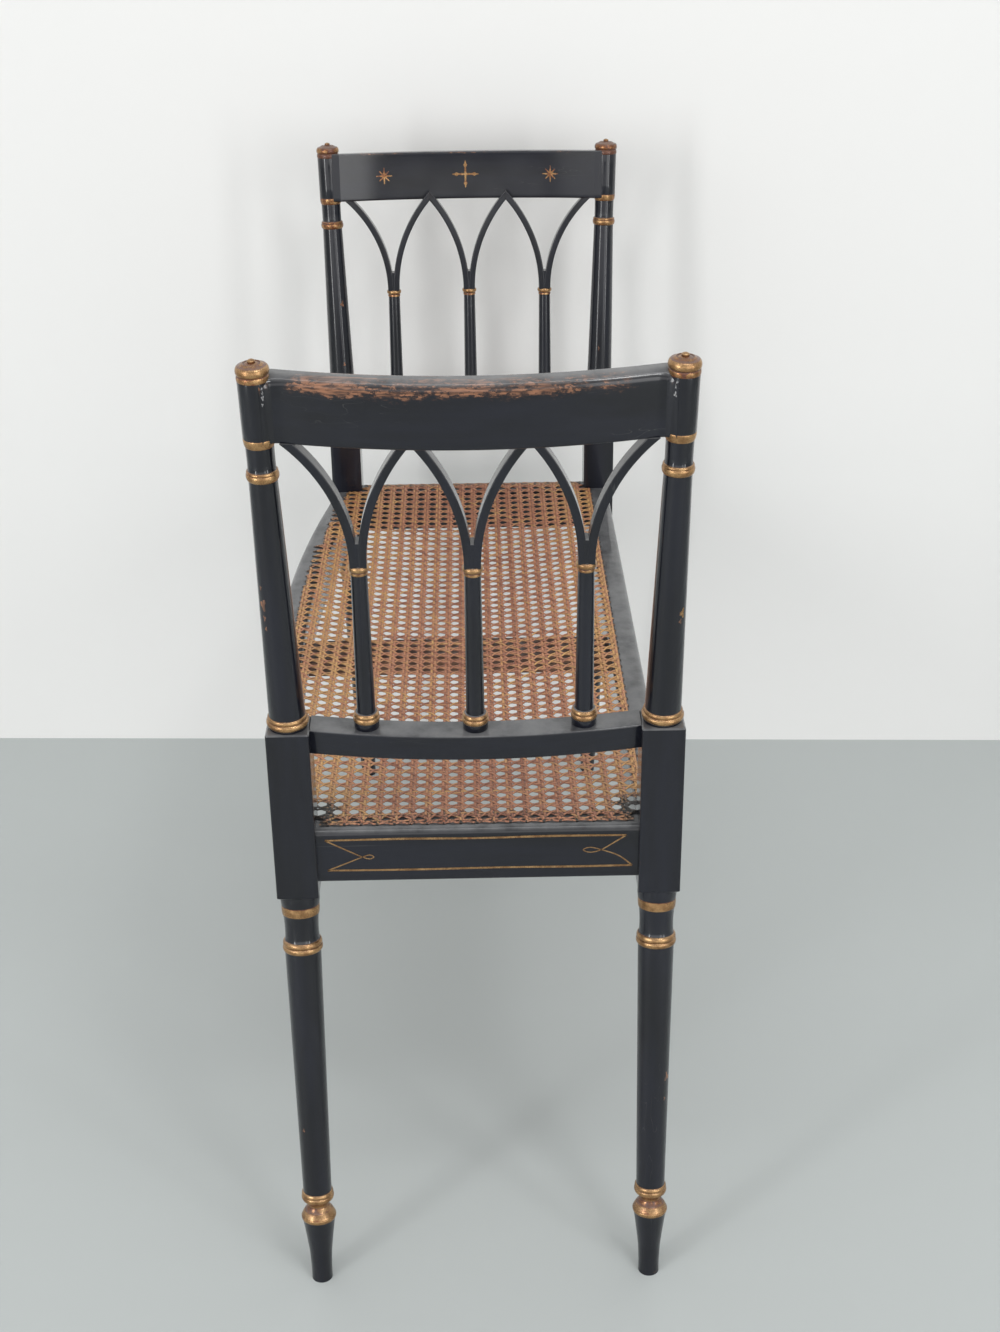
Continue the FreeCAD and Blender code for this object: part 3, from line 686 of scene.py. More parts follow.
FLAKES = {
    (End.NEAR, Side.FRONT): (
        Flake(False, 112.0, -42.0, 3.6), Flake(False, 101.0, -40.0, 1.7), Flake(False, 92.0, -37.0, 1.3),
        Flake(False, 126.0, -47.0, 1.3), Flake(True, 148.0, -35.0, 1.2),
        # pale patches at the crest joint: chipped white ground, partly a painted highlight
        Flake(False, 281.0, 33.0, 2.0, Coat.GROUND), Flake(False, 276.0, 35.0, 1.4, Coat.GROUND),
        Flake(False, 271.0, 32.0, 0.9, Coat.GROUND)),
    (End.NEAR, Side.BACK): (
        Flake(False, 99.0, 44.0, 3.0, Coat.GILT), Flake(False, 92.5, 36.0, 1.6),
        Flake(True, 191.0, 52.0, 3.0), Flake(True, 171.0, 44.0, 1.3),
        # pale patches at the crest joint: a painted highlight of a glint
        Flake(False, 280.5, -32.0, 2.6, Coat.GROUND), Flake(False, 274.0, -35.0, 1.6, Coat.GROUND)),
    (End.FAR, Side.FRONT): (Flake(False, 128.0, 150.0, 2.4), Flake(False, 60.0, 160.0, 1.6)),
    (End.FAR, Side.BACK): (Flake(False, 74.0, 190.0, 1.6), Flake(True, 120.0, 20.0, 2.0)),
}


@dataclass
class Turning:
    """Half the outline of a turned piece, from one end to the other."""

    radius: float
    height: float
    rings: list = field(default_factory=list)
    coats: list = field(default_factory=list)
    around: int = 48
    bead_steps: int = 9
    # extra wear on the rims of gilt mouldings, as painted shade
    rim_shade: float = 0.75
    chip_points: int = 13
    chip_depths: tuple = (-0.4, 0.1)
    chip_length: float = 1.7
    bare: float = 3.0

    def __post_init__(self) -> None:
        """Begin with the first ring."""
        self.rings.append((self.radius, self.height, 0.0))

    def to(self, radius: float, height: float, coat: Coat = Coat.PAINT, swell: float = 0.0, steps: int = 1,
           wear: float = 0.0) -> "Turning":
        """Go on to a radius and height.

        Args:
            radius: Radius at the end of this stretch.
            height: Height at the end of this stretch.
            coat: Coat of this stretch.
            swell: How far its middle stands out from the straight line; below zero it is hollow.
            steps: Number of bands.
            wear: Wear of this stretch, to which the rims of a gilt moulding add, darkening them as painted
                shade.

        Returns:
            The turning itself.
        """
        before_radius, before_height, _ = self.rings[-1]
        for step in range(1, steps + 1):
            turn = math.pi * step / steps
            share = (1 - math.cos(turn)) / 2 if swell else step / steps
            # painted shade: the rims of a gilt moulding get extra wear, which darkens them where they meet
            # the shaft
            shaded_rim = self.rim_shade * (1 - math.sin(turn)) ** 2 if swell and coat is Coat.GILT else 0.0
            self.rings.append((before_radius + (radius - before_radius) * share + swell * math.sin(turn),
                               before_height + (height - before_height) * share, wear + shaded_rim))
            self.coats.append(coat)
        return self

    def gilt(self, radius: float, height: float, swell: float = 0.0, steps: int = 1,
             wear: float = 0.0) -> "Turning":
        """Go on by a gilt stretch."""
        return self.to(radius, height, Coat.GILT, swell, steps, wear)

    def bead(self, radius: float, height: float, swell: float, wear: float = 0.25) -> "Turning":
        """Go on by a gilt round moulding."""
        return self.gilt(radius, height, swell, self.bead_steps, wear)

    def put(self, solid: Solid, axis: Axis) -> None:
        """Add the turned skin to a solid.

        Args:
            solid: What to add to.
            axis: Axis of the turning.
        """
        radii, heights, wear = np.array(self.rings).T[:, :, None]
        turns = np.linspace(0, 2 * math.pi, self.around, endpoint=False)[None, :]
        solid.add_rings(axis.at(heights, radii, turns), self.coats, **{WEAR: wear})

    def chip(self, solid: Solid, axis: Axis, flake: Flake) -> None:
        """Lay a chip in the paint on the turned skin.

        Args:
            solid: What to add to.
            axis: Axis of the turning.
            flake: The chip.
        """
        angles = np.linspace(0, 2 * math.pi, self.chip_points, endpoint=False)
        reach = flake.size * (0.7 + 0.3 * np.sin(3 * angles + flake.height))
        heights = flake.height + self.chip_length * reach * np.sin(angles)
        radii = np.interp(heights, [ring[1] for ring in self.rings], [ring[0] for ring in self.rings])
        turns = math.radians(flake.turn) + reach * np.cos(angles) / radii
        rings = np.array([axis.at(heights, radii + out, turns) for out in self.chip_depths])
        wear = self.bare if flake.coat is Coat.PAINT else 0.0
        solid.add_rings(rings, int(flake.coat), **{WEAR: wear})


@dataclass(frozen=True)
class Corner:
    """Corner of a rail's section, whose wear fades over the given width on the side before it."""

    across: float
    up: float
    radius: float
    wear: float
    fade: float = 0.0

    @property
    def point(self) -> Array:
        """Return its place across and up."""
        return np.array([self.across, self.up])


def rounded(corners: Sequence[Corner], margin: float = 2.5, steps: int = 4) -> tuple[Array, Array]:
    """Round the corners of a section.

    Args:
        corners: Corners in order.
        margin: Width of the flat strip beside each corner over which its wear fades.
        steps: Number of edges of each rounding.

    Returns:
        Points as rows of two, and the wear of each.
    """
    points, wear = [], []
    for here, corner in enumerate(corners):
        middle = corner.point
        back = corners[here - 1].point - middle
        ahead = corners[(here + 1) % len(corners)].point - middle
        back, ahead = back / np.linalg.norm(back), ahead / np.linalg.norm(ahead)
        first, last = middle + back * corner.radius, middle + ahead * corner.radius
        curve = [first * (1 - share) ** 2 + middle * 2 * share * (1 - share) + last * share ** 2
                 for share in (step / steps for step in range(steps + 1))]
        points += [first + back * max(margin, corner.fade), *curve, last + ahead * margin]
        wear += [0.0, *[corner.wear] * len(curve), 0.0]
    return np.array(points), np.array(wear)


def box_corners(left: float, low: float, right: float, high: float, radius: float,
                wear: float) -> list[Corner]:
    """Return four equal corners of a section."""
    spots = ((left, low), (right, low), (right, high), (left, high))
    return [Corner(across, up, radius, wear) for across, up in spots]


@dataclass
class Stroke:
    """One painted stroke: a thin film along a line on a surface, with a width at each point."""

    points: Sequence
    widths: Sequence
    smooth: bool = False
    wear: float = 0.35
    proud: float = 0.15
    sunk: float = 0.3
    steps: int = 8

    def drawn(self) -> tuple[Array, Array]:
        """Draw the line out.

        Returns:
            The points and half widths, curved through the points where it is smooth.
        """
        line, widths = np.array(self.points, float), np.array(self.widths, float) / 2
        if not self.smooth:
            return line, widths
        padded = np.vstack([2 * line[0] - line[1], line, 2 * line[-1] - line[-2]])
        out, thick = [], []
        for here in range(len(line) - 1):
            a, b, c, d = padded[here:here + 4]
            for share in np.linspace(0, 1, self.steps, endpoint=False):
                out.append(0.5 * (2 * b + (c - a) * share + (2 * a - 5 * b + 4 * c - d) * share ** 2
                                  + (3 * b - a - 3 * c + d) * share ** 3))
                thick.append(widths[here] + (widths[here + 1] - widths[here]) * share)
        return np.vstack([out, line[-1:]]), np.array(thick + [widths[-1]])

    def put(self, solid: Solid, surface: Surface) -> None:
        """Lay the stroke on a surface.

        Args:
            solid: What to add to.
            surface: Function from points on the surface and a height above it to the shared frame.
        """
        line, half = self.drawn()
        ahead = np.gradient(line, axis=0)
        ahead /= np.linalg.norm(ahead, axis=1)[:, None]
        aside = np.stack([-ahead[:, 1], ahead[:, 0]], axis=1) * half[:, None]
        film = [surface(line - aside, -self.sunk), surface(line + aside, -self.sunk),
                surface(line + aside, self.proud), surface(line - aside, self.proud)]
        solid.add_rings(np.stack(film, axis=1), **{WEAR: self.wear})


CREST_LOW, CREST_HIGH = 239.7, 290.5
CREST_INNER, CREST_OUTER = -11.0, 5.0
CREST_SECTION = [Corner(CREST_INNER, CREST_LOW, 1.8, 0.35), Corner(CREST_OUTER, CREST_LOW, 2.2, 0.4),
                 Corner(CREST_OUTER, CREST_HIGH, 8.5, 1.0, 14.0), Corner(CREST_INNER, CREST_HIGH, 1.8, 0.95)]
CREST_HALF = 139.0
FAIRED_FROM, FAIRED_RISE = 131.9, 0.027


def faired(section: Array, y: float) -> Array:
    """Return the crest's section across, with its outer face rising near the ends to meet the column."""
    rise = FAIRED_RISE * max(abs(y) - FAIRED_FROM, 0.0) ** 2
    return section[:, 0] + rise * np.clip(section[:, 0] / CREST_OUTER, 0.0, 1.0)


@dataclass
class Post:
    """Corner post: splayed leg, square block and leaning column with the shoulder for the crest."""

    end: End
    side: Side
    finishes: Finishes
    edge: float = 1.6
    shoulder_to: float = 147.0
    shoulder_wear: float = 0.7
    far_wear: float = 0.45
    solid: Solid = field(default_factory=Solid)

    def leg(self) -> Turning:
        """Draw the leg, from the floor up into the block.

        Returns:
            Its outline.
        """
        leg = Turning(8.9, -1.7)
        leg.to(8.8, 0.6, wear=0.7).to(8.9, 10, wear=0.3).to(9.6, 24, wear=0.15)
        leg.to(14.1, 58.6, swell=-0.25, steps=8, wear=0.1)
        leg.bead(14.5, 62.2, 0.6, 0.1).gilt(11.6, 67.4, 0.3, 6, 0.5)
        leg.gilt(9.3, 71.6, -0.35, 6, 0.85).gilt(12.2, 76.8, -0.9, 7, 0.45)
        leg.bead(12.9, 82.0, 1.3, 0.2).bead(12.2, 85.6, 0.9, 0.2)
        leg.to(12.2, 86.5).to(14.9, 310, steps=6, wear=0.05).to(14.9, 310.5, wear=0.1)
        leg.bead(15.2, 315.6, 1.5).bead(14.5, 320.4, 1.3)
        leg.to(15.0, 343.4, swell=-0.8, steps=8, wear=0.1)
        leg.gilt(15.3, 343.6).gilt(15.6, 351.4, 0.2, 4, 0.3)
        return leg.to(15.7, 351.8).to(16.2, 356, steps=2).to(16.2, 367)

    def column(self) -> Turning:
        """Draw the column, from inside the block to the button of the cap.

        Returns:
            Its outline.
        """
        old = 0.0 if self.end is End.NEAR else self.far_wear
        column = Turning(15.2, -4)
        column.to(15.2, 2.4, wear=0.1).to(14.7, 2.6)
        column.bead(14.9, 8.0, 1.9).bead(14.3, 11.4, 0.9).to(14.3, 12)
        column.to(10.6, 210.2, steps=6, wear=0.2)
        column.bead(11.2, 216.0, 1.3, 0.2 + old).bead(10.5, 218.2, 0.8, 0.3 + old)
        column.to(10.3, 218.6).to(10.4, 236.6, steps=3, wear=0.1)
        column.bead(11.4, 243.2, 0.55, 0.2 + old).to(11.6, 243.8)
        column.to(11.6, 285.6, steps=4, wear=0.15).to(11.5, 286.2, wear=0.6)
        column.bead(11.4, 290.4, 0.5, 0.6 + old).gilt(10.9, 290.9, wear=0.8)
        column.bead(10.1, 297.3, 1.65, 0.35 + old)
        column.gilt(9.3, 297.5, wear=1.3).gilt(6.6, 298.9, steps=3, wear=0.8 + old)
        column.gilt(5.9, 298.3, wear=1.4).gilt(3.2, 299.2, steps=2, wear=0.8 + old)
        column.gilt(2.7, 299.0, wear=1.2).gilt(2.8, 300.4, wear=0.4 + old)
        return column.gilt(0.3, 301.9, 0.75, 6, 0.2)

    def upright(self, points: Array) -> Array:
        """Place points given as for the near end, with the foot cut flat by the floor."""
        placed = LAYOUT.in_room(points * np.array([float(self.end), 1.0, 1.0]))
        return np.maximum(placed, np.array([-np.inf, -np.inf, 0.0]))

    def leaning(self, points: Array) -> Array:
        """Place points of the end frame."""
        return LAYOUT.from_end(self.end, points)

    def build(self) -> None:
        """Build the post."""
        lay, side = LAYOUT, self.side
        foot = np.array([lay.post_x + lay.foot_splay, side * (lay.post_y - lay.foot_toe), 0.0])
        knee = np.array([lay.post_x, side * lay.post_y, lay.block_bottom])
        base = np.array([0.0, side * lay.post_y, 0.0])
        rise = math.hypot(lay.height - lay.block_top, lay.head_lean)
        head = base + np.array([0.0, side * lay.head_flare, rise])
        shafts = {True: (self.leg(), Axis(foot, knee, self.upright)),
                  False: (self.column(), Axis(base, head, self.leaning))}
        for turning, axis in shafts.values():
            turning.put(self.solid, axis)
        for flake in FLAKES[self.end, side]:
            turning, axis = shafts[flake.on_leg]
            turning.chip(self.solid, axis, flake)
        self._block()
        self._shoulder()
        self.solid.build(f"{self.end.word}_{side.word}_post", self.finishes.wooden(Grain.ALONG_Z), WOOD_SLOT,
                         f"post_{self.end.word}_{side.word}")

    def _block(self) -> None:
        """Add the square block between leg and column."""
        lay, half, bottom, top = LAYOUT, LAYOUT.half_block, LAYOUT.block_bottom, LAYOUT.block_top
        section, wear = rounded(box_corners(-half, -half, half, half, self.edge, 0.5))
        levels = ((bottom, 0.93, 0.6), (bottom + 1.2, 1.0, 0.5), (bottom + 5, 1.0, 0.0),
                  (top - 5, 1.0, 0.0), (top - 1.2, 1.0, 0.55), (top, 0.93, 0.6))
        middle = self.side * lay.post_y
        rings = [rows(lay.post_x + section[:, 0] * size, middle + section[:, 1] * size, level)
                 for level, size, _ in levels]
        worn = [np.maximum(wear, rub) for _, _, rub in levels]
        self.solid.add_rings(self.upright(np.array(rings)), **{WEAR: np.array(worn)})

    def _shoulder(self) -> None:
        """Add the shoulder that carries on the crest's section into the column."""
        section, wear = rounded(CREST_SECTION, steps=6)
        rings = [rows(faired(section, y), self.side * y, section[:, 1])
                 for y in np.linspace(CREST_HALF, self.shoulder_to, 7)]
        self.solid.add_rings(self.leaning(np.array(rings)), **{WEAR: wear * self.shoulder_wear})


@dataclass
class RaisedEnd:
    """Crest rail, lower rail, spindles and arch ribs of one end."""

    end: End
    finishes: Finishes
    crest_bow: float = 18.0
    crest_dip: float = 0.5
    rub_at: Sequence = (-139, -115, -75, -25, 40, 100, 139)
    crest_rub: Sequence = (0.6, 1.05, 1.12, 0.96, 0.92, 0.88, 0.5)
    far_rub: float = 0.85
    lower_bow: float = 13.5
    spindle_spots: Sequence = ((2.5, -84.5), (7.0, 0.0), (2.5, 84.5))
    head_level: float = 141.5
    arch_rise: float = 97.7
    rib_width: float = 6.4
    rib_inward: float = 7.0
    rib_outward: float = 6.0
    rib_edge: float = 0.8
    inner_rib_radius: float = 149.0
    half_arch: float = 50.2
    crotch_height: float = 19.0
    crotch_skin: float = 0.06
    star_level: float = 265.5

    def build(self) -> None:
        """Build all pieces of the end."""
        self._crest()
        self._lower_rail()
        for word, (x, y) in zip(("front", "middle", "back"), self.spindle_spots):
            self._spindle(word, np.array([x, y, 0.0]))
        self._ribs()
        self._stars()

    def _place(self, points: Array) -> Array:
        """Place points of the end frame."""
        return LAYOUT.from_end(self.end, points)

    def _crest(self) -> None:
        """Build the crest rail, rubbed bare along its rounded outer edge."""
        section, wear = rounded(CREST_SECTION, steps=8)
        stations = np.linspace(-CREST_HALF, CREST_HALF, 81)
        bows = 1 - (stations / CREST_HALF) ** 2
        rings = [rows(faired(section, y) + self.crest_bow * bow, y, section[:, 1] - self.crest_dip * bow)
                 for y, bow in zip(stations, bows)]
        rub = np.interp(stations, self.rub_at, self.crest_rub)
        rub *= 1.0 if self.end is End.NEAR else self.far_rub
        self.finishes.skin(f"{self.end.word}_crest", f"crest_rail_{self.end.word}", Grain.ALONG_Y,
                           self._place(np.array(rings)), rub[:, None] * wear[None, :])

    def _lower_rail(self) -> None:
        """Build the rail that carries the spindles."""
        half = LAYOUT.inner_y
        section, wear = rounded(box_corners(-16.0, -21.5, 8.0, 0.0, 1.8, 0.45))
        rings = [rows(section[:, 0] + self.lower_bow * (1 - (y / half) ** 2), y, section[:, 1])
                 for y in np.linspace(-half, half, 41)]
        self.finishes.skin(f"{self.end.word}_lower_rail", f"lower_rail_{self.end.word}", Grain.ALONG_Y,
                           self._place(np.array(rings)), wear)

    def _spindle(self, word: str, foot: Array) -> None:
        """Build one spindle.

        Args:
            word: Which of the three it is.
            foot: Its foot in the end frame.
        """
        turning = Turning(9.3, -0.4, around=40)
        turning.to(9.8, 0.8, wear=0.3).to(9.8, 5.8, wear=0.2).to(9.5, 6.0)
        turning.bead(9.3, 10.4, 1.1).bead(8.4, 14, 0.9).to(7.3, 14.3)
        turning.to(6.3, 133.6, steps=6, wear=0.05).gilt(6.8, 133.8, wear=0.6)
        turning.gilt(6.6, 136.0, 0.1, 3, 0.7).to(6.1, 136.2)
        turning.bead(6.3, 141.0, 1.75, 0.1).to(5.6, 141.4)
        solid = Solid()
        turning.put(solid, Axis(foot, foot + np.array([0.0, 0.0, 100.0]), self._place))
        self._crotch(solid, foot)
        solid.build(f"{self.end.word}_{word}_spindle", self.finishes.wooden(Grain.ALONG_Z), WOOD_SLOT,
                    f"spindle_{self.end.word}_{word}")

    def _crotch(self, solid: Solid, foot: Array) -> None:
        """Fill the narrow gap between the two ribs over a spindle's head.

        Args:
            solid: What to add to.
            foot: Foot of the spindle.
        """
        inward, outward = self.crotch_skin - self.rib_inward, self.rib_outward - self.crotch_skin
        across = np.array([inward, outward, outward, inward])
        rings = []
        for level in np.linspace(0.2, self.crotch_height, 8):
            half = 1.1 + level ** 2 / 300
            rings.append(foot + rows(across, np.array([-half, -half, half, half]), self.head_level + level))
        solid.add_rings(self._place(np.array(rings)), **{WEAR: 0.0})

    def _ribs(self) -> None:
        """Build the sawn ribs, two on each spindle, numbered from the front."""
        last = 2 * len(self.spindle_spots)
        for number in range(1, last + 1):
            x, y = self.spindle_spots[(number - 1) // 2]
            way = 1 if number % 2 == 0 else -1
            self._rib(f"rib_{self.end.word}_{number}", x, y, way, number in (1, last))

    def _rib(self, node: str, x: float, y: float, way: int, half_arch: bool) -> None:
        """Build one rib.

        Args:
            node: Name of the node that it stands for.
            x: Place of its spindle outwards.
            y: Place of its spindle along the rails.
            way: -1 where it leans to the front, 1 to the back.
            half_arch: Whether it ends under the crest beside a post.
        """
        width, reach, rise = self.rib_width, self.half_arch, self.arch_rise
        if half_arch:
            outside = (reach ** 2 + rise ** 2 - width ** 2) / (2 * (reach - width))
            ends = [math.asin((rise + 1.0) / radius) for radius in (outside, outside - width)]
        else:
            outside = self.inner_rib_radius + width
            tip = abs(self.spindle_spots[0][1]) / 2
            ends = [math.acos((outside - tip) / radius) for radius in (outside, outside - width)]
        corners = box_corners(0.0, -self.rib_inward, width, self.rib_outward, self.rib_edge, 0.35)
        section, wear = rounded(corners, self.rib_edge, 3)
        share = section[:, :1] / width
        rings = [rows(section[:, 1] + x, y + way * section[:, 0], self.head_level - 1.0)]
        for part in np.linspace(0, 1, 25):
            edges = [np.array([outside - radius * math.cos(part * end), radius * math.sin(part * end)])
                     for radius, end in zip((outside, outside - width), ends)]
            at = edges[0] * (1 - share) + edges[1] * share
            rings.append(rows(section[:, 1] + x, y + way * at[:, 0], self.head_level + at[:, 1]))
        rub = np.linspace(0.3, 1.0, len(rings))[:, None] ** 5 * (0.3 if half_arch else 0.7)
        self.finishes.skin(f"{node}_sawn", node, Grain.ALONG_Z, self._place(np.array(rings)),
                           np.maximum(wear[None, :], rub))

    def _stars(self) -> None:
        """Paint two stars and a cross on the crest's inner face."""

        def surface(points: Array, height: float) -> Array:
            """Place points along and up on the bowed inner face."""
            bow = self.crest_bow * (1 - (points[:, 0] / CREST_HALF) ** 2)
            return self._place(rows(CREST_INNER + bow - height, points[:, 0], points[:, 1]))

        solid, level = Solid(), self.star_level
        for middle in (-91.0, 91.0):
            for ray in range(8):
                turn, reach = math.pi * ray / 4, 8.6 if ray % 2 == 0 else 7.4
                tip = (middle + reach * math.cos(turn), level + reach * math.sin(turn))
                Stroke([(middle, level), tip], [2.2, 0.9], wear=0.8).put(solid, surface)
        for turn in (0.0, math.pi / 2, math.pi, 1.5 * math.pi):
            way = np.array([math.cos(turn), math.sin(turn)])
            arm = [way * station + (-2.0, level) for station in (0.0, 7.5, 9.8, 12.0, 14.3)]
            Stroke(arm, [2.4, 1.6, 4.2, 1.6, 1.0], wear=0.75).put(solid, surface)
        solid.build(f"{self.end.word}_crest_stars", [self.finishes.gilding], WOOD_SLOT)


@dataclass
class SeatFrame:
    """The four seat rails, the brace and the gilt lines."""

    finishes: Finishes
    brace_width: float = 42.0
    brace_height: float = 20.0
    brace_front: float = 165.1
    brace_wear: float = 3.0

    def build(self) -> None:
        """Build all pieces of the frame."""
        for end in End:
            self._end_rail(end)
            self._end_lines(end)
        self._front_rail()
        self._back_rail()
        self._brace()

    @staticmethod
    def _section(left: float, right: float) -> tuple[Array, Array]:
        """Return a rail's section with a softer top, from its left to its right face."""
        low, top = LAYOUT.rail_bottom, LAYOUT.rail_top
        return rounded([Corner(left, low, 1.8, 0.4), Corner(right, low, 1.8, 0.4),
                        Corner(right, top, 6.5, 0.4), Corner(left, top, 6.5, 0.4)])

    def _end_rail(self, end: End) -> None:
        """Build the rail across one end.

        Args:
            end: The raised end over it.
        """
        lay = LAYOUT
        section, wear = self._section(lay.rail_x - lay.rail_thick, lay.rail_x)
        rings = [rows(end * section[:, 0], y, section[:, 1])
                 for y in np.linspace(-lay.inner_y, lay.inner_y, 9)]
        self.finishes.skin(f"{end.word}_end_rail", f"end_rail_{end.word}", Grain.ALONG_Y,
                           lay.in_room(np.array(rings)), wear)

    def _front_rail(self) -> None:
        """Build the bowed front rail."""
        lay = LAYOUT
        section, wear = self._section(0.0, lay.rail_thick)
        rings = [rows(x, section[:, 0] - lay.front_at(x), section[:, 1])
                 for x in np.linspace(-lay.inner_x, lay.inner_x, 61)]
        self.finishes.skin("front_seat_rail", "front_rail", Grain.ALONG_X, lay.in_room(np.array(rings)), wear)

    def _back_rail(self) -> None:
        """Build the straight back rail."""
        lay = LAYOUT
        section, wear = self._section(lay.rail_y - lay.rail_thick, lay.rail_y)
        rings = [rows(x, section[:, 0], section[:, 1]) for x in np.linspace(-lay.inner_x, lay.inner_x, 21)]
        self.finishes.skin("back_seat_rail", "back_rail", Grain.ALONG_X, lay.in_room(np.array(rings)), wear)

    def _brace(self) -> None:
        """Build the brace under the cane, left bare."""
        lay, half, low = LAYOUT, self.brace_width / 2, LAYOUT.rail_bottom
        section, _ = rounded(box_corners(-half, low, half, low + self.brace_height, 2.0, 0.3))
        rings = [rows(section[:, 0], y, section[:, 1])
                 for y in np.linspace(-self.brace_front, lay.rail_y - lay.rail_thick, 9)]
        self.finishes.skin("cross_brace", "seat_brace", Grain.ALONG_Y, lay.in_room(np.array(rings)),
                           self.brace_wear)

    def _end_lines(self, end: End) -> None:
        """Paint the gilt panel line with its looped notches on the outer face of an end rail.

        Args:
            end: The raised end over the rail.
        """

        def surface(points: Array, height: float) -> Array:
            """Place points along and up on the outer face."""
            return LAYOUT.in_room(rows(end * (LAYOUT.rail_x + height), points[:, 0], points[:, 1]))

        top = [(-122, 410.3), (-60, 410.8), (0, 410.2), (60, 410.9), (119, 410.5)]
        low = [(-121, 382.2), (-50, 381.8), (20, 382.3), (80, 381.9), (124, 382.2)]
        left = [(-122, 410.3), (-106, 401.5), (-93, 394.6), (-87, 392.6), (-83.5, 394.3), (-87, 396.2),
                (-93, 394.2), (-107, 388.2), (-121, 382.2)]
        right = [(119, 410.5), (108, 403.0), (98.5, 397.0), (90, 395.0), (84.5, 397.4), (90, 399.6),
                 (98.5, 397.4), (113, 391.5), (124, 382.2)]
        loop = [1.2, 1.1, 0.9, 0.8, 0.8, 0.8, 0.9, 1.0, 1.3]
        solid = Solid()
        for line, widths in ((top, [1.4, 1.9, 1.6, 1.9, 1.5]), (low, [1.5, 1.8, 1.6, 1.9, 1.6]),
                             (left, loop), (right, loop)):
            Stroke(line, widths, smooth=True).put(solid, surface)
        solid.build(f"{end.word}_rail_lines", [self.finishes.gilding], WOOD_SLOT)


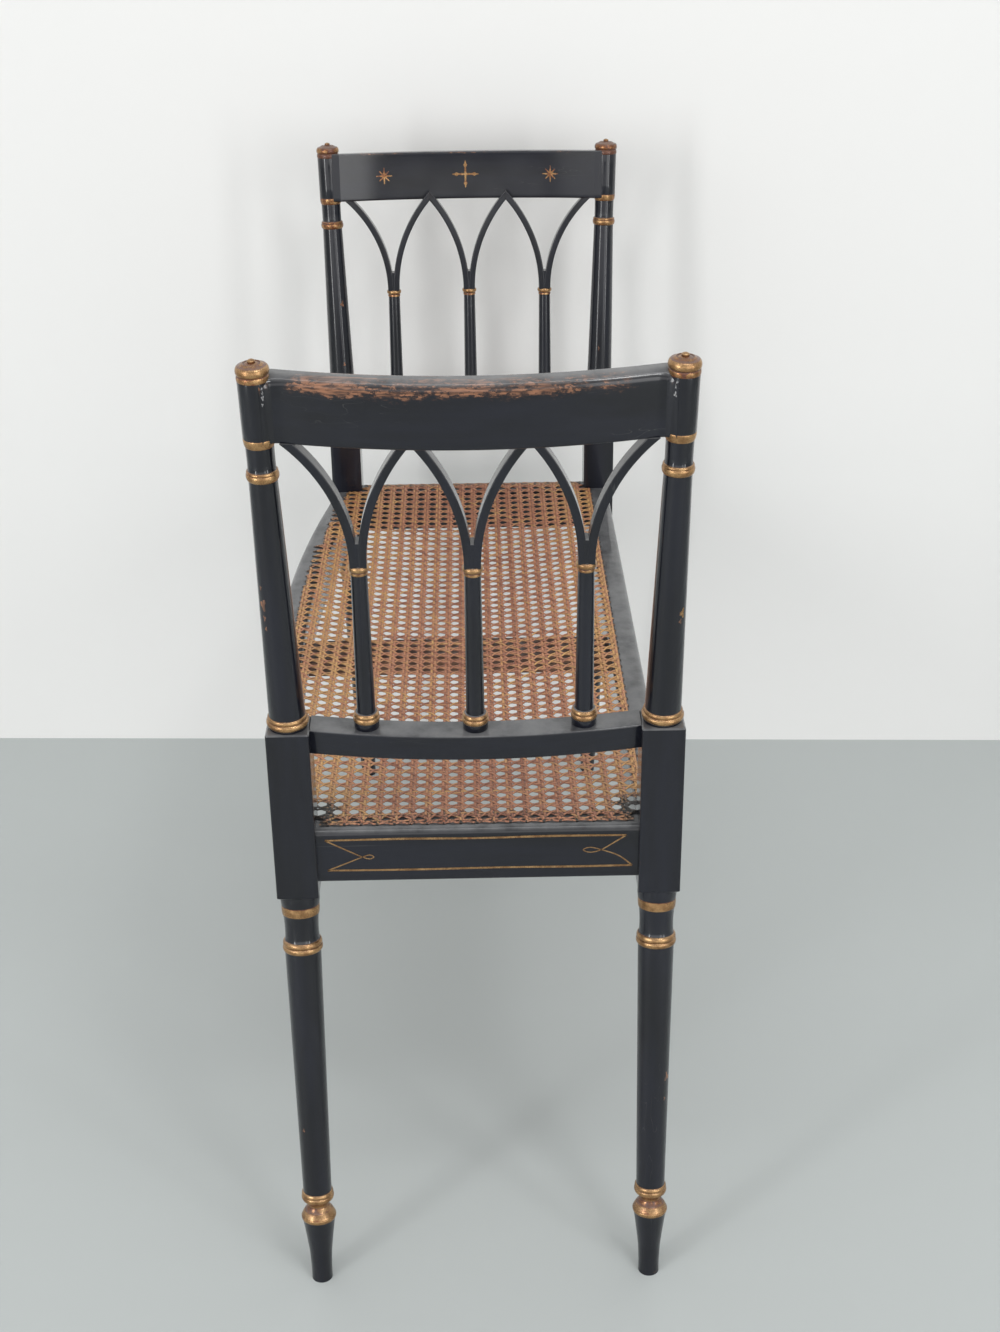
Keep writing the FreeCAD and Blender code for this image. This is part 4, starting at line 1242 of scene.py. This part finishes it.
@dataclass
class CaneSeat:
    """Six-way woven cane: pairs along and across, and two sets of slanting strands."""

    finishes: Finishes
    pitch: float = 13.3
    pair_gap: float = 1.5
    pair_width: float = 2.75
    slant_width: float = 2.6
    thick: float = 0.8
    weave: float = 0.75
    pair_weave: float = 0.55
    sag: float = 12.0
    lift: float = 1.3
    margin: float = 13.5
    front_margin: float = 17.0
    back_margin: float = 21.0
    block_clear: float = 2.5
    hole_depth: float = 3.0
    rim_height: float = 0.5
    binding_width: float = 3.2
    binding_dirt: float = 0.46
    border_dirt: float = 0.42
    corner_reach: float = 27.0
    tone: float = 0.38
    tone_spread: float = 0.26
    tone_change: float = 0.12
    pale_border: float = 0.45
    reach: int = 31
    seed: int = 7
    solid: Solid = field(default_factory=Solid)
    random: np.random.Generator = field(init=False)

    def __post_init__(self) -> None:
        """Start the random numbers."""
        self.random = np.random.default_rng(self.seed)

    def build(self) -> None:
        """Weave the seat."""
        reach_x = int(LAYOUT.post_x / self.pitch) + 1
        reach_y = int((LAYOUT.front_face + LAYOUT.front_bow) / self.pitch) + 1
        for across, reach in ((True, reach_x), (False, reach_y)):
            for number in range(-reach, reach + 1):
                for which in (-1, 1):
                    self._straight(number, which, across)
        for slope in (-1, 1):
            for line in range(-reach_x - reach_y, reach_x + reach_y + 1):
                self._slanting(line, slope)
        self._binding()
        self.solid.build("woven_cane", [self.finishes.cane], CANE_SLOT, "cane_seat", crease=80.0)

    def _inside(self, x: Array, y: Array) -> Array:
        """Tell which points lie within the line of holes in the rails.

        Args:
            x: Places along the seat.
            y: Places across it.

        Returns:
            Whether each point lies inside.
        """
        between_y = np.abs(y) < LAYOUT.inner_y - self.block_clear
        between_x = np.abs(x) < LAYOUT.inner_x - self.block_clear
        in_front = y > self.front_margin - LAYOUT.front_at(x)
        within = (np.abs(x) < LAYOUT.rail_x - self.margin) & (y < LAYOUT.rail_y - self.back_margin)
        return within & in_front & (between_x | between_y)

    def _level(self, x: Array, y: Array) -> Array:
        """Find the height of the sagging sheet.

        Args:
            x: Places along the seat.
            y: Places across it.

        Returns:
            The height at each point.
        """
        front, back = LAYOUT.rail_thick - LAYOUT.front_at(x), LAYOUT.inner_y
        along = np.clip(1 - (x / (LAYOUT.inner_x - 2)) ** 2, 0, 1)
        across = np.clip(1 - ((2 * y - front - back) / (back - front)) ** 2, 0, 1)
        return LAYOUT.rail_top + self.lift - self.sag * along ** 0.8 * across

    def _strand(self, x: Array, y: Array, wave: Array, width: float, snap: Sequence[int]) -> None:
        """Add one strand where it lies within the holes, with both its ends down a hole.

        Args:
            x: Points along the strand.
            y: Points along the strand.
            wave: Height of each point over the sheet.
            width: Width of the strand.
            snap: Numbers of the coordinates that are on the pitch at a hole.
        """
        edges = np.flatnonzero(np.diff(np.concatenate([[0], self._inside(x, y).astype(int), [0]])))
        whole = rows(x, y, self._level(x, y) + wave)
        levels = (LAYOUT.rail_top - self.hole_depth, LAYOUT.rail_top + self.rim_height)
        for first, after in zip(edges[::2], edges[1::2]):
            if after - first < 3:
                continue
            line = whole[first:after]
            ends = []
            for here, back in ((0, 1), (-1, -2)):
                hole = line[here] + (line[here] - line[back]) * 0.8
                for axis in snap:
                    hole[axis] = round(hole[axis] / self.pitch) * self.pitch
                ends.append([(hole[0], hole[1], level) for level in levels])
            self._ribbon(np.vstack([ends[0], line, ends[1][::-1]]), width)

    def _binding(self) -> None:
        """Lay two binding strands over the holes in each end rail."""
        reach = LAYOUT.inner_y - self.block_clear
        y = np.arange(-reach, reach, self.pitch / 4)
        for end in End:
            for out, phase in ((0.6, 0.0), (4.3, math.pi)):
                turn = 2 * math.pi * y / self.pitch + phase
                x = end * (LAYOUT.rail_x - self.margin + out + 0.5 * np.sin(turn))
                line = rows(x, y, LAYOUT.rail_top + 0.9 + 0.5 * np.cos(turn))
                self._ribbon(line, self.binding_width, self.binding_dirt)

    def _ribbon(self, line: Array, width: float, dirt: float = 0.0) -> None:
        """Add a strand with a crowned top.

        Args:
            line: Points along the strand.
            width: Its width.
            dirt: How blackened it is all along.
        """
        count, x, y = len(line), line[:, 0], np.abs(line[:, 1])
        ahead = np.gradient(line, axis=0)
        aside = np.stack([-ahead[:, 1], ahead[:, 0]], axis=1)
        aside /= np.maximum(np.linalg.norm(aside, axis=1), 1e-6)[:, None]
        aside = np.column_stack([aside, np.zeros(count)]) * width / 2
        crown = np.array([0.0, 0.0, self.thick / 2])
        rings = np.stack([line - aside, line + crown, line + aside, line - crown], axis=1)
        own = self.random.normal(self.tone, self.tone_spread)
        tone = own + self.random.normal(0, self.tone_change, count)
        tone = np.clip(tone + self.pale_border * np.clip((y - 65) / 55, 0, 1), 0, 1)
        # darker towards the inner corners by the blocks
        corner = np.clip(1.2 - np.hypot(x - LAYOUT.inner_x, y - LAYOUT.inner_y) / self.corner_reach, 0, 1)
        border = self.border_dirt * np.clip((x - LAYOUT.inner_x + 8) / 10, 0, 1)
        ends = np.minimum(np.arange(count), np.arange(count)[::-1])
        tips = np.where(ends < 2, 0.75, np.where(ends < 4, 0.3, 0.0))
        soot = np.maximum.reduce([np.full(count, dirt), border, corner, tips])
        # edge is 1 at a strand's sides and 0 on its crown, for the painted shade between strands
        self.solid.add_rings(LAYOUT.in_room(rings), **{TONE: tone[:, None], SOOT: soot[:, None],
                                                       EDGE: np.array([1.0, 0.0, 1.0, 1.0])})

    def _straight(self, number: int, which: int, across: bool) -> None:
        """Weave one strand of a pair.

        Args:
            number: Number of the pair from the middle.
            which: -1 or 1, the first or the second of the pair.
            across: Whether it runs from front to back.
        """
        pitches = np.arange(-self.reach, self.reach + 1)[:, None] * self.pitch
        run = (pitches + np.array([-self.pair_gap, self.pair_gap, self.pitch / 2])).ravel()
        over = which * (1 if across else -1) * self.pair_weave * self.weave
        wave = np.tile([over, -over, 0.0], len(pitches))
        fixed = np.full(len(run), number * self.pitch + which * self.pair_gap)
        x, y = (fixed, run) if across else (run, fixed)
        self._strand(x, y, wave, self.pair_width, (0,) if across else (1,))

    def _slanting(self, line: int, slope: int) -> None:
        """Weave one slanting strand, under the pairs one way and over them the other.

        Args:
            line: Number of the strand from the middle.
            slope: -1 or 1, the way that it slants.
        """
        x = np.arange(-self.reach * 4, self.reach * 4 + 1) * self.pitch / 4
        wave = -slope * self.weave * np.cos(2 * math.pi * x / self.pitch)
        self._strand(x, slope * x + (line + 0.5) * self.pitch, wave, self.slant_width, (0, 1))


@dataclass(frozen=True)
class Lamp:
    """Soft rectangular light, in metres and watts, that faces a target."""

    name: str
    place: tuple
    target: tuple
    size: tuple
    power: float

    def hang(self) -> None:
        """Hang the light."""
        data = bpy.data.lights.new(self.name, "AREA")
        data.shape = "RECTANGLE"
        data.size, data.size_y = self.size
        data.energy = self.power
        lamp = bpy.data.objects.new(self.name, data)
        lamp.location = self.place
        lamp.rotation_euler = (Vector(self.target) - Vector(self.place)).to_track_quat("-Z", "Y").to_euler()
        bpy.context.scene.collection.objects.link(lamp)


LAMPS = (
    Lamp("ceiling_light", (1.0, 0.1, 2.6), (0.4, 0.05, 0.5), (2.8, 0.3), 10.0),
    Lamp("corner_light", (1.7, 0.95, 2.5), (0.4, 0.1, 0.8), (0.45, 0.45), 9.0),
    Lamp("front_window", (2.5, -2.3, 1.05), (0.0, 0.0, 0.5), (0.4, 1.9), 26.0),
    Lamp("back_window", (2.5, 2.3, 1.05), (0.0, 0.0, 0.5), (0.35, 1.9), 16.0),
    Lamp("room_window", (3.7, 1.8, 1.0), (0.0, 0.0, 0.6), (0.9, 1.8), 14.0),
    Lamp("room_light", (5.0, -0.6, 1.0), (0.0, 0.0, 0.6), (5.0, 1.7), 24.0),
    Lamp("front_light", (2.6, -3.2, 2.0), (0.0, 0.0, 0.3), (2.4, 2.0), 18.0),
)


@dataclass
class Studio:
    """Camera, light, floor and wall, in metres."""

    eye: tuple = (1.65889, 0.01889, 1.18521)
    ahead: tuple = (-0.89737, 0.01128, -0.44114)
    roll: float = -0.012
    lens: float = 50.0
    sensor: float = 36.0
    floor_colour: tuple = (0.47, 0.50, 0.495, 1.0)
    floor_half: float = 8.0
    wall_colour: tuple = (0.75, 0.75, 0.74, 1.0)
    wall_at: float = -0.5316
    wall_skew: float = 0.04197
    wall_half: float = 4.0
    wall_height: float = 3.0
    sky: tuple = (1.0, 1.0, 1.0, 1.0)
    sky_strength: float = 0.74

    def build(self) -> None:
        """Set up the whole studio."""
        bpy.context.scene.view_settings.view_transform = "Standard"
        self._camera()
        self._world()
        for lamp in LAMPS:
            lamp.hang()
        self._floor()
        self._wall()

    def _camera(self) -> None:
        """Make the camera at the photograph's viewing angle."""
        ahead = Vector(self.ahead).normalized()
        right = ahead.cross(Vector((0, 0, 1))).normalized()
        up = right.cross(ahead)
        cos, sin = math.cos(self.roll), math.sin(self.roll)
        columns = (right * cos + up * sin, up * cos - right * sin, -ahead)
        data = bpy.data.cameras.new("photo_camera")
        data.lens, data.sensor_width = self.lens, self.sensor
        camera = bpy.data.objects.new("photo_camera", data)
        camera.matrix_world = Matrix.Translation(self.eye) @ Matrix(columns).transposed().to_4x4()
        bpy.context.scene.collection.objects.link(camera)
        bpy.context.scene.camera = camera

    def _world(self) -> None:
        """Fill the room with even light."""
        world = bpy.data.worlds.new("room")
        world.use_nodes = True
        background = world.node_tree.nodes["Background"]
        Bench(world.node_tree).fill(background, {"Color": self.sky, "Strength": self.sky_strength})
        bpy.context.scene.world = world

    @staticmethod
    def _sheet(name: str, corners: Sequence, material: Material) -> None:
        """Make a flat piece of the stage.

        Args:
            name: Name of the piece.
            corners: Its four corners.
            material: Its material.
        """
        mesh = bpy.data.meshes.new(name)
        mesh.from_pydata(corners, [], [(0, 1, 2, 3)])
        mesh.materials.append(material)
        sheet = bpy.data.objects.new(name, mesh)
        bpy.context.scene.collection.objects.link(sheet)

    def _floor(self) -> None:
        """Lay the floor."""
        material, bench, shader = new_material("floor_paint")
        bench.fill(shader, {"Base Color": self.floor_colour, "Roughness": 0.6, "Specular IOR Level": 0.25})
        half = self.floor_half
        corners = [(-half, -half, 0), (half, -half, 0), (half, half, 0), (-half, half, 0)]
        self._sheet("floor", corners, material)

    def _wall(self) -> None:
        """Stand a white wall behind the far end, open from its back."""
        material, bench, shader = new_material("wall_paint")
        bench.fill(shader, {"Base Color": self.wall_colour, "Roughness": 0.8})
        behind = bench.add("NewGeometry").outputs["Backfacing"]
        clear = bench.add("BsdfTransparent").outputs[0]
        mixed = bench.add("MixShader", {0: behind, 1: shader.outputs[0], 2: clear}).outputs[0]
        bench.fill(bench.tree.nodes["Material Output"], {"Surface": mixed})
        half, top = self.wall_half, self.wall_height
        front, back = (self.wall_at + self.wall_skew * y for y in (-half, half))
        corners = [(front, -half, 0), (back, half, 0), (back, half, top), (front, -half, top)]
        self._sheet("wall", corners, material)


def main() -> None:
    """Build the seat and the studio."""
    logging.basicConfig(level=logging.INFO, format="%(name)s %(message)s")
    finishes = Finishes()
    for end in End:
        for side in Side:
            Post(end, side, finishes).build()
        RaisedEnd(end, finishes).build()
    SeatFrame(finishes).build()
    CaneSeat(finishes).build()
    Studio().build()


if __name__ == "__main__":
    main()
